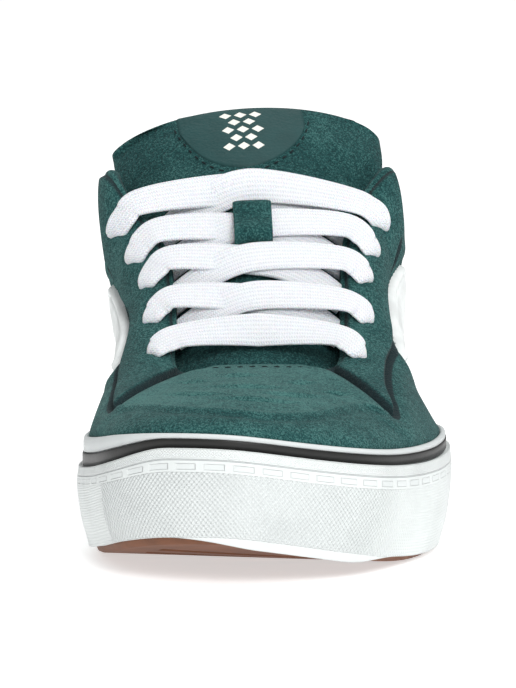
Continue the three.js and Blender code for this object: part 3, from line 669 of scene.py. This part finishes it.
def plain_rubber(name, base, rough, mottle=0.1, gloss=0.4):
    shade = Shade(name, Specular_IOR_Level=gloss)
    soil = shade.noise(8, 4)
    grit = shade.noise(0.7, 2)
    dark = tuple(c * (1 - mottle) for c in base[:3]) + (1.0,)
    shade.relief(grit, 0.05)
    return shade.finish(shade.blend(dark, base, soil.step(0.3, 0.7)), soil.ramp(rough, rough + 0.1))


def knit_lining(name, base, flat=False):
    """Fine knitted loops, laid out on the piece's own flat coordinates or straight down on a flat piece."""
    shade = Shade(name, Sheen_Weight=0.3, Specular_IOR_Level=0.15)
    x, y = shade.ground() if flat else shade.skin()
    loops = waves(x, KNIT_PITCH) * waves(y, KNIT_PITCH) * 0.5 + 0.5
    shade.relief(loops, 0.3)
    # Painted shade: the knit is painted darker in the hollows between its loops.
    dark = tuple(c * 0.55 for c in base[:3]) + (1.0,)
    return shade.finish(shade.blend(dark, base, loops.step(0.25, 0.7)), 0.95)


# Meshes


def sheet(name, steps, at, material, node, wrap=False, flip=False):
    """A grid of faces whose points, flat coordinates and marks at(u, v) gives for u and v from 0 to 1."""
    bm = bmesh.new()
    skin = bm.loops.layers.uv.new("skin")
    bmesh.ops.create_grid(bm, x_segments=steps[0], y_segments=steps[1], size=0.5)
    bm.verts.ensure_lookup_table()
    flat = np.array([v.co[:2] for v in bm.verts]) + 0.5
    made = at(flat[:, 0], flat[:, 1])
    points, uv, marks = made[0], made[1], (made[2] if len(made) > 2 else {})
    for key, values in marks.items():
        layer = bm.verts.layers.float.new(key)
        for vert, value in zip(bm.verts, values):
            vert[layer] = float(value)
    for vert, co in zip(bm.verts, points * MM):
        vert.co = co
    for face in bm.faces:
        face.smooth = True
        for loop in face.loops:
            loop[skin].uv = uv[loop.vert.index] * MM
    if wrap:
        bmesh.ops.remove_doubles(bm, verts=bm.verts, dist=1e-6)
    if flip:
        bmesh.ops.reverse_faces(bm, faces=bm.faces)
    mesh = bpy.data.meshes.new(name)
    bm.to_mesh(mesh)
    bm.free()
    mesh.materials.append(material)
    item = bpy.data.objects.new(name, mesh)
    bpy.context.scene.collection.objects.link(item)
    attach(item, "root")
    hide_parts(node)
    return item


def round_sole(name, rings, material, node, steps=640, closed=True):
    """A sheet round the sole, through rings of (inset, height, share of the way out)."""
    rows = [ring if len(ring) == 3 else (*ring, 1.0) for ring in rings]
    if closed:
        rows = rows + rows[:1]

    def at(s, v):
        k = np.rint(v * (len(rows) - 1)).astype(int)
        points = np.zeros((len(s), 3))
        for i, (inset, height, out) in enumerate(rows):
            here = k == i
            points[here] = on_sole(s[here], inset, height, out)
        return points, np.stack([(s - 0.5) * SOLE_ROUND, v * 10], 1)

    return sheet(name, (steps, len(rows) - 1), at, material, node, wrap=True, flip=True)


# Sole

WHITE_TAPE = plain_rubber("tape_rubber", tone(208, 213, 213), 0.45, 0.04)
BLACK = plain_rubber("stripe_rubber", tone(24, 24, 23), 0.4, 0.25, 0.45)
GUM = plain_rubber("gum_rubber", tone(122, 78, 54), 0.6, 0.25)
BAND = band_rubber()
BAND_FACE = Table([(0.05, 1), (0.3, 0.45), (0.6, 0.1), (0.82, 0), (1, 0.14)])
KNURL_FROM, KNURL_TO = 0.437, 0.582


FOOT_WRAP = 3


def foot_wrap(x, y):
    """How far the band wraps under the raised toe, more to the outer side of its tip."""
    return FOOT_WRAP * smooth(-38, -4, x) * smooth(2, 7, rise(x, y))


def sole_band():
    """The outer band: its face, a rounded top and foot, and its back."""

    def at(s, v):
        x, y = plan(s, 1).T
        top = band_top(y)
        face = np.clip((v - 0.1) / 0.8, 0, 1)
        height = mix(0.055 * top - foot_wrap(x, y), top, face)
        inset = BAND_FACE(mix(0.055, 1, face)) * SIDE_TAPER
        turn_top = np.clip((v - 0.9) / 0.1, 0, 1)
        turn_foot = np.clip((0.1 - v) / 0.1, 0, 1)
        inset = inset + (turn_top + turn_foot) * BAND_THICK
        height = height - 0.5 * smooth(0, 0.35, turn_top) + 0.3 * smooth(0, 0.35, turn_foot)
        points = on_sole(s, inset, height)
        front = smooth(KNURL_FROM - 0.045, KNURL_FROM + 0.01, s) * (1 - smooth(KNURL_TO, KNURL_TO + 0.001, s))
        flat = np.stack([(s - 0.5) * SOLE_ROUND, height], 1)
        return points, flat, {"drop": top - height, "front": front}

    return sheet("band", (900, 60), at, BAND, "foxing_band", wrap=True, flip=True)


def cup():
    back = BAND_THICK + CLEARANCE
    behind = TAPE_STEP + STRIPE_THICK
    rows = [(OUTSOLE_EDGE, OUTSOLE_THICK + CLEARANCE, 0.0), (OUTSOLE_EDGE, OUTSOLE_THICK + CLEARANCE)]
    for share, taper in ((0.3, 0.45), (0.6, 0.1), (0.82, 0)):
        rows.append((taper * SIDE_TAPER + back, lambda y, k=share: k * band_top(y)))
    rows += [
        (behind, band_top),
        (behind, lambda y: stripe_top(y) + CLEARANCE),
        (TAPE_STEP, lambda y: stripe_top(y) + CLEARANCE / 2),
        (TAPE_STEP, lambda y: wall_top(y) - TAPE_ROUND),
        (TAPE_STEP + 0.15 * TAPE_ROUND, lambda y: wall_top(y) - 0.45 * TAPE_ROUND),
        (TAPE_STEP + 0.5 * TAPE_ROUND, lambda y: wall_top(y) - 0.12 * TAPE_ROUND),
        (TAPE_STEP + TAPE_ROUND, wall_top),
        (CUP_WALL, wall_top),
        (CUP_FOOT, cup_floor),
        (CUP_FOOT, cup_floor, 0.0),
    ]
    return round_sole("cup", rows, WHITE_TAPE, "midsole", closed=False)


def dark_stripe():
    front, back = TAPE_STEP - CLEARANCE, TAPE_STEP - CLEARANCE + STRIPE_THICK
    rows = [
        (back, lambda y: band_top(y) + 0.1), (front, lambda y: band_top(y) + 0.1),
        (front, lambda y: stripe_top(y) - 0.3), (front + 0.12, stripe_top), (back, stripe_top),
    ]
    return round_sole("dark_stripe", rows, BLACK, "foxing_stripe")


def tread_height(x, y, left, right):
    """The underside: plain rim, and cross bars between pockets."""
    pitch = TREAD_BAR + TREAD_GROOVE
    count = int((LENGTH - 2 * TREAD_RIM) / pitch)
    start = -((count - 1) * pitch) / 2
    k = np.rint((y - start) / pitch)
    inside = (np.abs(y - start - k * pitch) < TREAD_GROOVE / 2) & (k >= 0) & (k < count)
    rim = (x > left + TREAD_RIM - OUTSOLE_EDGE) & (x < right - TREAD_RIM + OUTSOLE_EDGE)
    wide = right - left > 2 * TREAD_RIM + 10
    return np.where(inside & rim & wide, TREAD_DEPTH, 0.0)


def outsole():
    inset = OUTSOLE_EDGE + SOLE_EDGE
    ring = plan(np.linspace(0, 1, 2001), inset)
    low, high = ring[:, 1].min(), ring[:, 1].max()

    def side(s0, s1):
        line = plan(np.linspace(s0, s1, 1001), inset)
        order = np.argsort(line[:, 1])
        return lambda y: np.interp(y, line[order, 1], line[order, 0])

    outer, inner = side(0, 0.5), side(0.5, 1)

    def at(u, v):
        y = mix(low, high, v)
        left, right = inner(y), outer(y)
        x = mix(left, right, u)
        z = rise(x, y) + arch_lift(y) + tread_height(x, y, left, right)
        return np.stack([x, y, z], 1), np.stack([x, y], 1)

    sheet("outsole_tread", (64, 560), at, GUM, "outsole", flip=True)
    rows = [
        (inset, arch_lift), (OUTSOLE_EDGE + 0.6, lambda y: 0.35 + arch_lift(y)),
        (OUTSOLE_EDGE, lambda y: SOLE_EDGE + arch_lift(y) / 2), (OUTSOLE_EDGE, OUTSOLE_THICK),
        (OUTSOLE_EDGE, OUTSOLE_THICK, 0.0),
    ]
    round_sole("outsole_edge", rows, GUM, "outsole", closed=False)


def footbed():
    edge = CUP_FOOT + UPPER_WALL + 3 * CLEARANCE
    top = INSOLE_THICK + CLEARANCE
    rows = [
        (edge, lambda y: cup_floor(y) + CLEARANCE, 0.0), (edge, lambda y: cup_floor(y) + CLEARANCE),
        (edge, lambda y: cup_floor(y) + top - 1), (edge + 1, lambda y: cup_floor(y) + top),
        (edge, lambda y: cup_floor(y) + top, 0.5), (edge, lambda y: cup_floor(y) + top, 0.0),
    ]
    cloth = knit_lining("footbed_cloth", tone(40, 52, 52), flat=True)
    round_sole("footbed", rows, cloth, "insole", steps=320, closed=False)


# Upper

SUEDE = suede("suede")
SUEDE_PLAIN = suede("suede_plain", seams=False)
LINING = knit_lining("lining_cloth", tone(46, 62, 62))
WHITE_PANEL = smooth_leather("panel_leather", tone(238, 242, 241), 0.42)

# low is the eyestay's low edge. A lace row gives s and t: over the flap's edge, twice on the flap, the eyelet.
EYESTAYS = {
    "lateral": {
        "toe": 0.396,
        "back": 0.25,
        "low": Table([
            (0, 0.48), (0.13, 0.66), (0.3, 0.7), (0.55, 0.63), (0.72, 0.665), (0.88, 0.675), (1, 0.74),
        ]),
        "rows": [
            [(0.3675, 1), (0.3675, 0.94), (0.3685, 0.9), (0.3675, 0.86)],
            [(0.3405, 1), (0.337, 0.925), (0.336, 0.87), (0.334, 0.83)],
            [(0.317, 1), (0.314, 0.93), (0.313, 0.885), (0.309, 0.83)],
            [(0.298, 1), (0.295, 0.925), (0.294, 0.875), (0.289, 0.81)],
            [(0.2815, 1), (0.278, 0.935), (0.274, 0.875), (0.27, 0.815)],
        ],
    },
    "medial": {
        "toe": 0.604,
        "back": 0.755,
        "low": Table([(0, 0.44), (0.2, 0.56), (0.34, 0.59), (0.56, 0.65), (0.82, 0.61), (1, 0.67)]),
        "rows": [
            [(0.6335, 1), (0.634, 0.92), (0.6345, 0.87), (0.637, 0.835)],
            [(0.6625, 1), (0.664, 0.93), (0.664, 0.88), (0.667, 0.82)],
            [(0.684, 1), (0.686, 0.925), (0.688, 0.86), (0.692, 0.8)],
            [(0.701, 1), (0.705, 0.915), (0.707, 0.85), (0.713, 0.785)],
            [(0.7205, 1), (0.722, 0.935), (0.726, 0.865), (0.736, 0.785)],
        ],
    },
}
EYESTAY_EDGE_T = 0.985
SIDE_PANELS = {
    "lateral": {
        "front": 0.318,
        "back": 0.2,
        "edges": Table([
            (0, 0.51, 0.55), (0.14, 0.45, 0.6), (0.4, 0.4, 0.635), (0.88, 0.4, 0.66), (1, 0.46, 0.6),
        ]),
    },
    "medial": {
        "front": 0.676,
        "back": 0.8,
        "edges": Table([
            (0, 0.5, 0.57), (0.14, 0.45, 0.61), (0.42, 0.4, 0.58), (0.88, 0.4, 0.64), (1, 0.46, 0.58),
        ]),
    },
}


def eyestay_place(side, u, v):
    s = mix(EYESTAYS[side]["toe"], EYESTAYS[side]["back"], u)
    return s, mix(EYESTAYS[side]["low"](u), EYESTAY_EDGE_T, v)


def panel_place(side, u, v):
    s = mix(SIDE_PANELS[side]["front"], SIDE_PANELS[side]["back"], u)
    low, high = SIDE_PANELS[side]["edges"](u).T
    return s, mix(low, high, v)


def far_from(points, line):
    """The distance from each point to the nearest point of a line."""
    out = np.full(len(points), 1e9)
    for start in range(0, len(line), 40):
        gap = np.linalg.norm(points[:, None] - line[None, start:start + 40], axis=2)
        out = np.minimum(out, gap.min(axis=1))
    return out


def border(place, side, sides="lbr"):
    """Points on a panel's outline: its front end, low edge, back end and high edge."""
    w = np.linspace(0, 1, 160)
    zero, one = np.zeros(160), np.ones(160)
    runs = {"l": (zero, w), "b": (w, zero), "r": (one, w), "t": (w, one)}
    return np.concatenate([on_upper(*place(side, *runs[key])) for key in sides])


# Fine seams at the rear, as lines from one s and t to another: the quarters, the collar pad and the heel strip
FINE_SEAMS = [
    ((0.135, 0.15), (0.165, 0.84)), ((0.865, 0.15), (0.835, 0.84)), ((0.835, 0.84), (1.165, 0.84)),
    ((0.016, 0.15), (0.012, 0.82)), ((0.984, 0.15), (0.988, 0.82)),
]
FINE_SHIFT = 1.6


def fine_lines():
    w = np.linspace(0, 1, 240)
    return np.concatenate([on_upper(mix(a[0], b[0], w), mix(a[1], b[1], w)) for a, b in FINE_SEAMS])


SEAMS = np.concatenate([border(eyestay_place, side, "lb") for side in EYESTAYS])
FINE_LINES = fine_lines()
PANEL_LINES = np.concatenate([border(panel_place, side, "lbrt") for side in SIDE_PANELS])


# The soft ridge across the toe box, as s and t, and the low wrinkles behind it: s, t, half length and turn
TOE_RIDGE = Table([
    (0.39, 0.44), (0.404, 0.5), (0.415, 0.57), (0.444, 0.525), (0.467, 0.455), (0.492, 0.405), (0.508, 0.41),
    (0.528, 0.425), (0.541, 0.435), (0.575, 0.47), (0.59, 0.44), (0.605, 0.42),
])
WRINKLES = [
    (0.47, 0.66, 0.03, 0.1), (0.51, 0.73, 0.04, -0.08), (0.545, 0.63, 0.03, 0.12), (0.5, 0.58, 0.035, 0.05),
    (0.455, 0.8, 0.02, -0.2), (0.56, 0.8, 0.02, 0.15), (0.43, 0.7, 0.014, 0.4), (0.52, 0.87, 0.03, 0.0),
]
SKIN_HEIGHT = 95
TOE_REACH = 0.39


# Soft relief across a line, as rows of height, place and width: the toe's ridge, a wrinkle, the seams
RIDGE_RELIEF = [(0.55, 1.5, 2.2), (-0.45, -3.5, 3)]
WRINKLE_RELIEF = [(0.6, 1, 1.1), (-0.8, -1, 1.1)]
SEAM_RELIEF = [(-1.1, 0, 1.5), (0.8, 6, 4)]
PANEL_RELIEF = [(-0.8, 0, 1.6), (0.6, 5, 3.5)]
FINE_RELIEF = [(-0.9, 0, 1.2), (0.4, 4, 3)]


def bump_at(distance, width):
    return np.exp(-((distance / width) ** 2))


def relief_at(distance, rows):
    return sum(height * bump_at(distance - place, width) for height, place, width in rows)


def toe_box(s, t):
    """On the toe box: the ridge's height, and painted light: a painted highlight above the ridge, where the top
    faces up, and painted shade just below it.
    """
    here = smooth(TOE_REACH, TOE_REACH + 0.02, s) * (1 - smooth(1 - TOE_REACH - 0.02, 1 - TOE_REACH, s))
    above = (t - TOE_RIDGE(s)) * SKIN_HEIGHT
    out = relief_at(above, RIDGE_RELIEF)
    for ws, wt, reach, turn in WRINKLES:
        across = (t - wt - turn * (s - ws)) * SKIN_HEIGHT
        out = out + relief_at(across, WRINKLE_RELIEF) * bump_at(s - ws, 0.7 * reach)
    # Painted light: a painted highlight on the toe box above its ridge, where the top faces up, and a band of
    # painted shade just below the ridge.
    lit = 0.22 * smooth(-0.5, 2.5, above) - 0.06 * bump_at(above + 2.5, 2.5)
    return out * here, lit * here


def upper_relief(points):
    """How far the padded suede stands out or sinks in, and how far the nearest eyestay seam is."""
    seam, panel, fine = (far_from(points, line) for line in (SEAMS, PANEL_LINES, FINE_LINES))
    out = relief_at(seam, SEAM_RELIEF) + relief_at(panel, PANEL_RELIEF) + relief_at(fine, FINE_RELIEF)
    return out, np.minimum(seam, fine + FINE_SHIFT)


# Painted light: how much lighter the medial side's suede is painted.
MEDIAL_PAINTED_LIGHT = 0.1


def upper_outer():
    def at(s, v):
        lip = np.clip((v - 0.93) / 0.07, 0, 1)
        t = mix(0.1, 1, np.clip(v / 0.93, 0, 1))
        base = upper_skin(s, t)
        normal = upper_normal(s, t)
        out, seam = upper_relief(base)
        ridge, toe_painted_light = toe_box(s, t)
        out = (out + ridge) * smooth(RIM_SHARE, RIM_SHARE + 0.06, t) * (1 - smooth(0.96, 1, t))
        wall = upper_wall(s, np.ones_like(s))
        over = unit(upper_skin(s, np.ones_like(s)) - upper_skin(s, np.full_like(s, 0.97)))
        turn = lip * np.pi
        point = base + normal * column(out - wall * (1 - np.cos(turn)) / 2)
        point = point + over * column(LIP_SHARE * wall * np.sin(turn))
        throat = smooth(0.24, 0.27, s) * (1 - smooth(0.73, 0.76, s))
        # Painted light: the toe box's painted highlight and shade, and the medial side painted lighter, over a
        # base of 0.1.
        lit = 0.1 + toe_painted_light + MEDIAL_PAINTED_LIGHT * smooth(0.5, 0.6, s)
        marks = {"dark": throat * smooth(0.15, 0.4, lip) * 0.8, "seam": seam, "lit": lit}
        return point, np.stack([s * SOLE_ROUND, t * SKIN_HEIGHT], 1), marks

    sheet("upper_suede", (760, 110), at, SUEDE, "upper", wrap=True, flip=True)


def upper_inner():
    def at(u, v):
        point = on_upper(u, v, -upper_wall(u, v))
        return point, np.stack([u * SOLE_ROUND, v * SKIN_HEIGHT], 1)

    sheet("upper_lining", (400, 60), at, LINING, "upper", wrap=True)


def overlay(name, place, side, thick, material, node, steps, round_width, welt=0, marks=None):
    """A padded panel over the upper: it swells from its border to its full thickness, past a welt's groove."""
    line = border(place, side, "lbrt")

    def at(u, v):
        s, t = place(side, u, v)
        base = on_upper(s, t)
        far = far_from(base, line)
        swell = np.sqrt(1 - (1 - np.clip(far / round_width, 0, 1)) ** 2)
        lift = mix(-2.1, CLEARANCE + thick, swell)
        if welt:
            lift = lift - 0.8 * bump_at(far - welt, 0.6) + 0.5 * smooth(welt, welt + 5, far)
        point = base + upper_normal(s, t) * column(lift)
        flat = np.stack([s * SOLE_ROUND, t * SKIN_HEIGHT], 1)
        return point, flat, (marks(far) if marks else {})

    return sheet(name, steps, at, material, node, flip=place(side, 0.0, 0.0)[0] > 0.5)


def eyestay_marks(far):
    return {"dark": 0.85 * (1 - smooth(0.5, 1.4, far)), "seam": far + 50, "lit": 0.1 * smooth(0.5, 3, far)}


def eyestays():
    for side in EYESTAYS:
        overlay("eyestay_" + side + "_suede", eyestay_place, side, EYESTAY_THICK, SUEDE,
                "eyestay_" + side, (260, 56), 1.6, marks=eyestay_marks)
        overlay("side_panel_" + side + "_leather", panel_place, side, PANEL_THICK, WHITE_PANEL,
                "side_panel_" + side, (200, 90), 1.8, welt=3.2)


# Tongue


def tongue_pad():
    def at(u, v):
        side = np.where(u < 0.5, 1, -1)
        w = np.where(u < 0.5, u * 2, 2 - u * 2)
        across = np.sin((2 * w - 1) * np.pi / 2)
        thick = TONGUE_CURVE(v)[:, 4] * TONGUE_THICK
        power = np.where(side > 0, 3.5, 2)
        swell = np.sqrt(np.maximum(0, 1 - np.abs(across) ** power))
        above = thick * TONGUE_EDGE * (swell - 1)
        below = -thick * (TONGUE_EDGE + (1 - TONGUE_EDGE) * swell)
        out = np.where(side > 0, above, below)
        point = on_tongue(v, across, out)
        return point, np.stack([across * TONGUE_WIDTH / 2, v * TONGUE_RUN], 1)

    item = sheet("tongue_suede", (160, 150), at, SUEDE_PLAIN, "tongue", wrap=True)


LABEL_TOP_V = 0.96
LABEL_LOW_V = 0.71


def label_span():
    return TONGUE_CURVE(np.array([LABEL_TOP_V]))[0, 3] * TONGUE_WIDTH


def tongue_label():
    def at(u, v):
        x = 2 * u - 1
        bow = np.sqrt(1 - x * x * 0.96)
        low = mix(LABEL_TOP_V - 0.02, LABEL_LOW_V, bow)
        across = (x * LABEL_WIDTH + 2 * LABEL_SHIFT) / label_span()
        place = mix(low, LABEL_TOP_V, v)
        edge = np.minimum(np.minimum(v, 1 - v) * 40, (1 - np.abs(x)) * 20)
        out = mix(-0.6, LABEL_THICK / 2, np.sqrt(1 - (1 - np.clip(edge, 0, 1)) ** 2))
        point = on_tongue(place, across, out)
        return point, np.stack([x * LABEL_WIDTH / 2, (LABEL_TOP_V - place) * TONGUE_RUN], 1)

    sheet("label_leather", (90, 60), at, label_leather(), "tongue_label")


# Stitches

THREAD = smooth_leather("thread", tone(14, 30, 34), 0.8)
STITCH = 2.2
STITCH_GAP = 1.5
STITCH_THICK = 0.55


def stitches(name, points, normals, node):
    """A row of short dark stitches along a line of points."""
    path = Spline(points)
    count = int(path.length / (STITCH + STITCH_GAP))
    where = (np.arange(count) + 0.5) / count
    place, run = path.at(where)
    knots = np.interp(np.arange(len(points)), path.fine, path.run)
    bm = bmesh.new()
    for k in range(count):
        normal = unit(np.array([np.interp(where[k], knots, normals[:, c]) for c in range(3)]))
        side = unit(np.cross(normal, run[k]))
        made = bmesh.ops.create_icosphere(bm, subdivisions=1, radius=0.5)
        for vert in made["verts"]:
            a, b, c = vert.co
            co = place[k] + run[k] * a * STITCH + side * b * STITCH_THICK + normal * c * STITCH_THICK
            vert.co = co * MM
    mesh = bpy.data.meshes.new(name)
    bm.to_mesh(mesh)
    bm.free()
    mesh.materials.append(THREAD)
    item = bpy.data.objects.new(name, mesh)
    bpy.context.scene.collection.objects.link(item)
    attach(item, "root")
    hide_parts(node)


THROAT_STITCHES = (0.432, 0.575, 0.965)


def seam_stitches():
    s = np.linspace(THROAT_STITCHES[0], THROAT_STITCHES[1], 40)
    t = np.full_like(s, THROAT_STITCHES[2])
    stitches("throat_stitches", on_upper(s, t, 0.1), upper_normal(s, t), "upper")
    x = np.linspace(-1.06, 1.06, 60)
    bow = np.sqrt(np.maximum(0, 1 - (x / 1.08) ** 2))
    v = mix(LABEL_TOP_V, LABEL_LOW_V - 0.018, bow)
    u = (x * LABEL_WIDTH + 2 * LABEL_SHIFT) / label_span()
    stitches("label_stitches", on_tongue(v, u, 0.25), tongue_normal(v, u), "tongue")


# Laces

LACE = lace_cloth()
LACE_LIFT = CLEARANCE + LACE_THICK / 2
LACE_SPAN = 3.4
LACE_SINK = 0.85
# Where each row crosses the tongue, its share of the lace's width there, and its tilt towards the toe in degrees
CROSSES = [(0.186, 1.12, 22), (0.28, 1.0, 18), (0.388, 1.0, 18), (0.486, 1.02, 18), (0.606, 1.2, 28)]
# At the last stops of a row: how high the lace lies, its share of the width, and how far it cups
LACE_END = [(5.2, 1, 0), (4.3, 1, 0.1), (3.5, 0.86, 0.3), (1.9, 0.3, 0.5), (-1.5, 0.24, 0.6), (-5, 0.24, 0.6)]
# A crossing's stops: across the tongue, way from one row to the next, height, and share of the middle's spread
CROSSING = [(0.85, 0.36, 1.5, 0), (0.6, 0.62, 1.8, 0.4), (0.3, 0.88, 2, 0.9), (0, 1, 2.1, 1)]


def one(array):
    return np.asarray(array)[0]


def flap_stop(s, t, out, width=1.0, cup=0.0, face=None):
    normal = one(upper_normal(np.array([s]), np.array([min(t, 0.98)])))
    point = one(on_upper(s, min(t, 1.0), out))
    return {"point": point, "face": normal if face is None else face, "width": width, "cup": cup}


def tongue_stop(v, u, out, width=1.0, tilt=0.0):
    """A stop over the tongue: its face leans towards the toe by tilt degrees."""
    normal = one(tongue_normal(v, u))
    toe = unit(one(on_tongue(v - 0.02, u) - on_tongue(v + 0.02, u)))
    face = normal * math.cos(math.radians(tilt)) + toe * math.sin(math.radians(tilt))
    return {"point": one(on_tongue(v, u, out)), "face": face, "width": width, "cup": 0.0}


def eyelet_end(side, k):
    """The lace's last stops: over the flap's edge, outwards, then turned towards the toe into its eyelet."""
    way = 1 if side == "lateral" else -1
    places = EYESTAYS[side]["rows"][k]
    hole, deep = places[-1]
    s, t = np.array([hole]), np.array([deep])
    ahead = unit(one(upper_skin(s + way * 0.01, t) - upper_skin(s, t)))
    outward = unit(one(upper_skin(s, t - 0.05) - upper_skin(s, t)))
    up = one(upper_normal(s, t))
    faces = [None, None, unit(up + outward * 0.4), unit(up * 0.5 + outward + ahead * 0.2)]
    faces += [unit(outward + ahead * 0.3)] * 2
    places = places + [places[-1]] * 2
    return [
        flap_stop(s, t, out, width, cup, face)
        for (s, t), (out, width, cup), face in zip(places, LACE_END, faces)
    ]


def lace_band(name, stops, node, width=LACE_WIDTH, thick=LACE_THICK, material=LACE, steps=120):
    path = Spline([stop["point"] for stop in stops])
    knots = np.interp(np.arange(len(stops)), path.fine, path.run)
    faces = np.array([stop["face"] for stop in stops])
    widths = np.array([stop["width"] for stop in stops])
    cups = np.array([stop["cup"] for stop in stops])

    def at(u, v):
        turn = u * 2 * np.pi
        across = np.sign(np.cos(turn)) * np.abs(np.cos(turn)) ** 0.55
        up = np.sign(np.sin(turn)) * np.abs(np.sin(turn)) ** 0.8
        point, run = path.at(v)
        face = unit(np.stack([np.interp(v, knots, faces[:, c]) for c in range(3)], 1))
        side = unit(np.cross(face, run))
        face = np.cross(run, side)
        w = np.interp(v, knots, widths) * width / 2
        bend = np.interp(v, knots, cups) * across * across
        place = point + side * column(across * w) + face * column(up * thick / 2 - bend)
        return place, np.stack([across * width / 2, v * path.length], 1)

    return sheet(name, (36, steps), at, material, node, wrap=True)


def laces():
    bar = list(reversed(eyelet_end("medial", 0)))
    v, wide, tilt = CROSSES[0]
    bar.append(tongue_stop(v, 0, LACE_LIFT + LACE_SPAN, wide, tilt))
    bar += eyelet_end("lateral", 0)
    lace_band("lace_1_bar", bar, "lace_row_1", steps=200)
    for k in range(1, len(CROSSES)):
        low, (high, wide, tilt) = CROSSES[k - 1][0], CROSSES[k]
        for start, side, name, over in ((1, "medial", "under", 0), (-1, "lateral", "over", 1)):
            stops = []
            for across, way, out, spread in CROSSING:
                out = LACE_LIFT + out + over * LACE_THICK * LACE_SINK * smooth(0.7, 0, across)
                v, width = mix(low, high, way), mix(1, wide, spread)
                stops.append(tongue_stop(v, start * across, out, width, tilt * spread))
            stops += eyelet_end(side, k)
            lace_band("lace_%d_%s" % (k + 1, name), stops, "lace_row_%d" % (k + 1))


LOOP_SLACK = 3.4
# The loop's stops along its length, and their shares of the height at its foot and of its top
LOOP_STOPS = [(-1, 1, 0), (-0.92, 1, 0.35), (-0.76, 0, 1), (0, 0, 1), (0.76, 0, 1), (0.92, 1, 0.35), (1, 1, 0)]


def keeper_loop():
    middle = CROSSES[3][0]
    reach = LOOP_LENGTH / 2 / TONGUE_RUN
    foot = CLEARANCE + LOOP_THICK / 2
    height = foot + 2 * LACE_THICK + LOOP_SLACK
    stops = [tongue_stop(middle + w * reach, 0, foot * low + height * high) for w, low, high in LOOP_STOPS]
    lace_band("keeper_loop", stops, "lace_loop", LOOP_WIDTH, LOOP_THICK, SUEDE_PLAIN, 60)


# Floor and light


FLOOR_GLOW = 0.55
ROOM_GLOW = 0.42
# Each light's name, place, size and power
LIGHTS = [
    ("key", (0.5, -2.2, 1.5), 1.2, 40), ("top", (0.5, -0.5, 2.2), 1.4, 14), ("back", (0, 1.4, 1.8), 1.4, 8),
]


def room():
    """A white room for the camera, whose walls give the shoe less light than they show."""
    world = bpy.data.worlds.new("studio")
    world.use_nodes = True
    tree = world.node_tree
    glow = tree.nodes["Background"]
    glow.inputs["Color"].default_value = (1, 1, 1, 1)
    glow.inputs["Strength"].default_value = ROOM_GLOW
    seen = tree.nodes.new("ShaderNodeBackground")
    path = tree.nodes.new("ShaderNodeLightPath")
    blend = tree.nodes.new("ShaderNodeMixShader")
    seen.inputs["Color"].default_value = (1, 1, 1, 1)
    tree.links.new(path.outputs["Is Camera Ray"], blend.inputs[0])
    tree.links.new(glow.outputs[0], blend.inputs[1])
    tree.links.new(seen.outputs[0], blend.inputs[2])
    tree.links.new(blend.outputs[0], tree.nodes["World Output"].inputs["Surface"])
    bpy.context.scene.world = world


def studio():
    bm = bmesh.new()
    bmesh.ops.create_grid(bm, x_segments=1, y_segments=1, size=6)
    mesh = bpy.data.meshes.new("floor")
    bm.to_mesh(mesh)
    bm.free()
    floor = bpy.data.objects.new("floor", mesh)
    bpy.context.scene.collection.objects.link(floor)
    shade = Shade("floor_paper", Emission_Color=(1, 1, 1, 1), Emission_Strength=FLOOR_GLOW)
    mesh.materials.append(shade.finish(tone(230, 230, 230), 0.9))
    bpy.context.scene.view_settings.view_transform = "Standard"
    room()
    for name, place, size, power in LIGHTS:
        data = bpy.data.lights.new(name, "AREA")
        data.size = size
        data.energy = power
        lamp = bpy.data.objects.new(name, data)
        lamp.location = place
        aim = Vector((0, -0.05, 0.06)) - Vector(place)
        lamp.rotation_euler = aim.to_track_quat("-Z", "Y").to_euler()
        bpy.context.scene.collection.objects.link(lamp)


sole_band()
cup()
dark_stripe()
outsole()
footbed()
upper_outer()
upper_inner()
eyestays()
tongue_pad()
tongue_label()
seam_stitches()
laces()
keeper_loop()
studio()
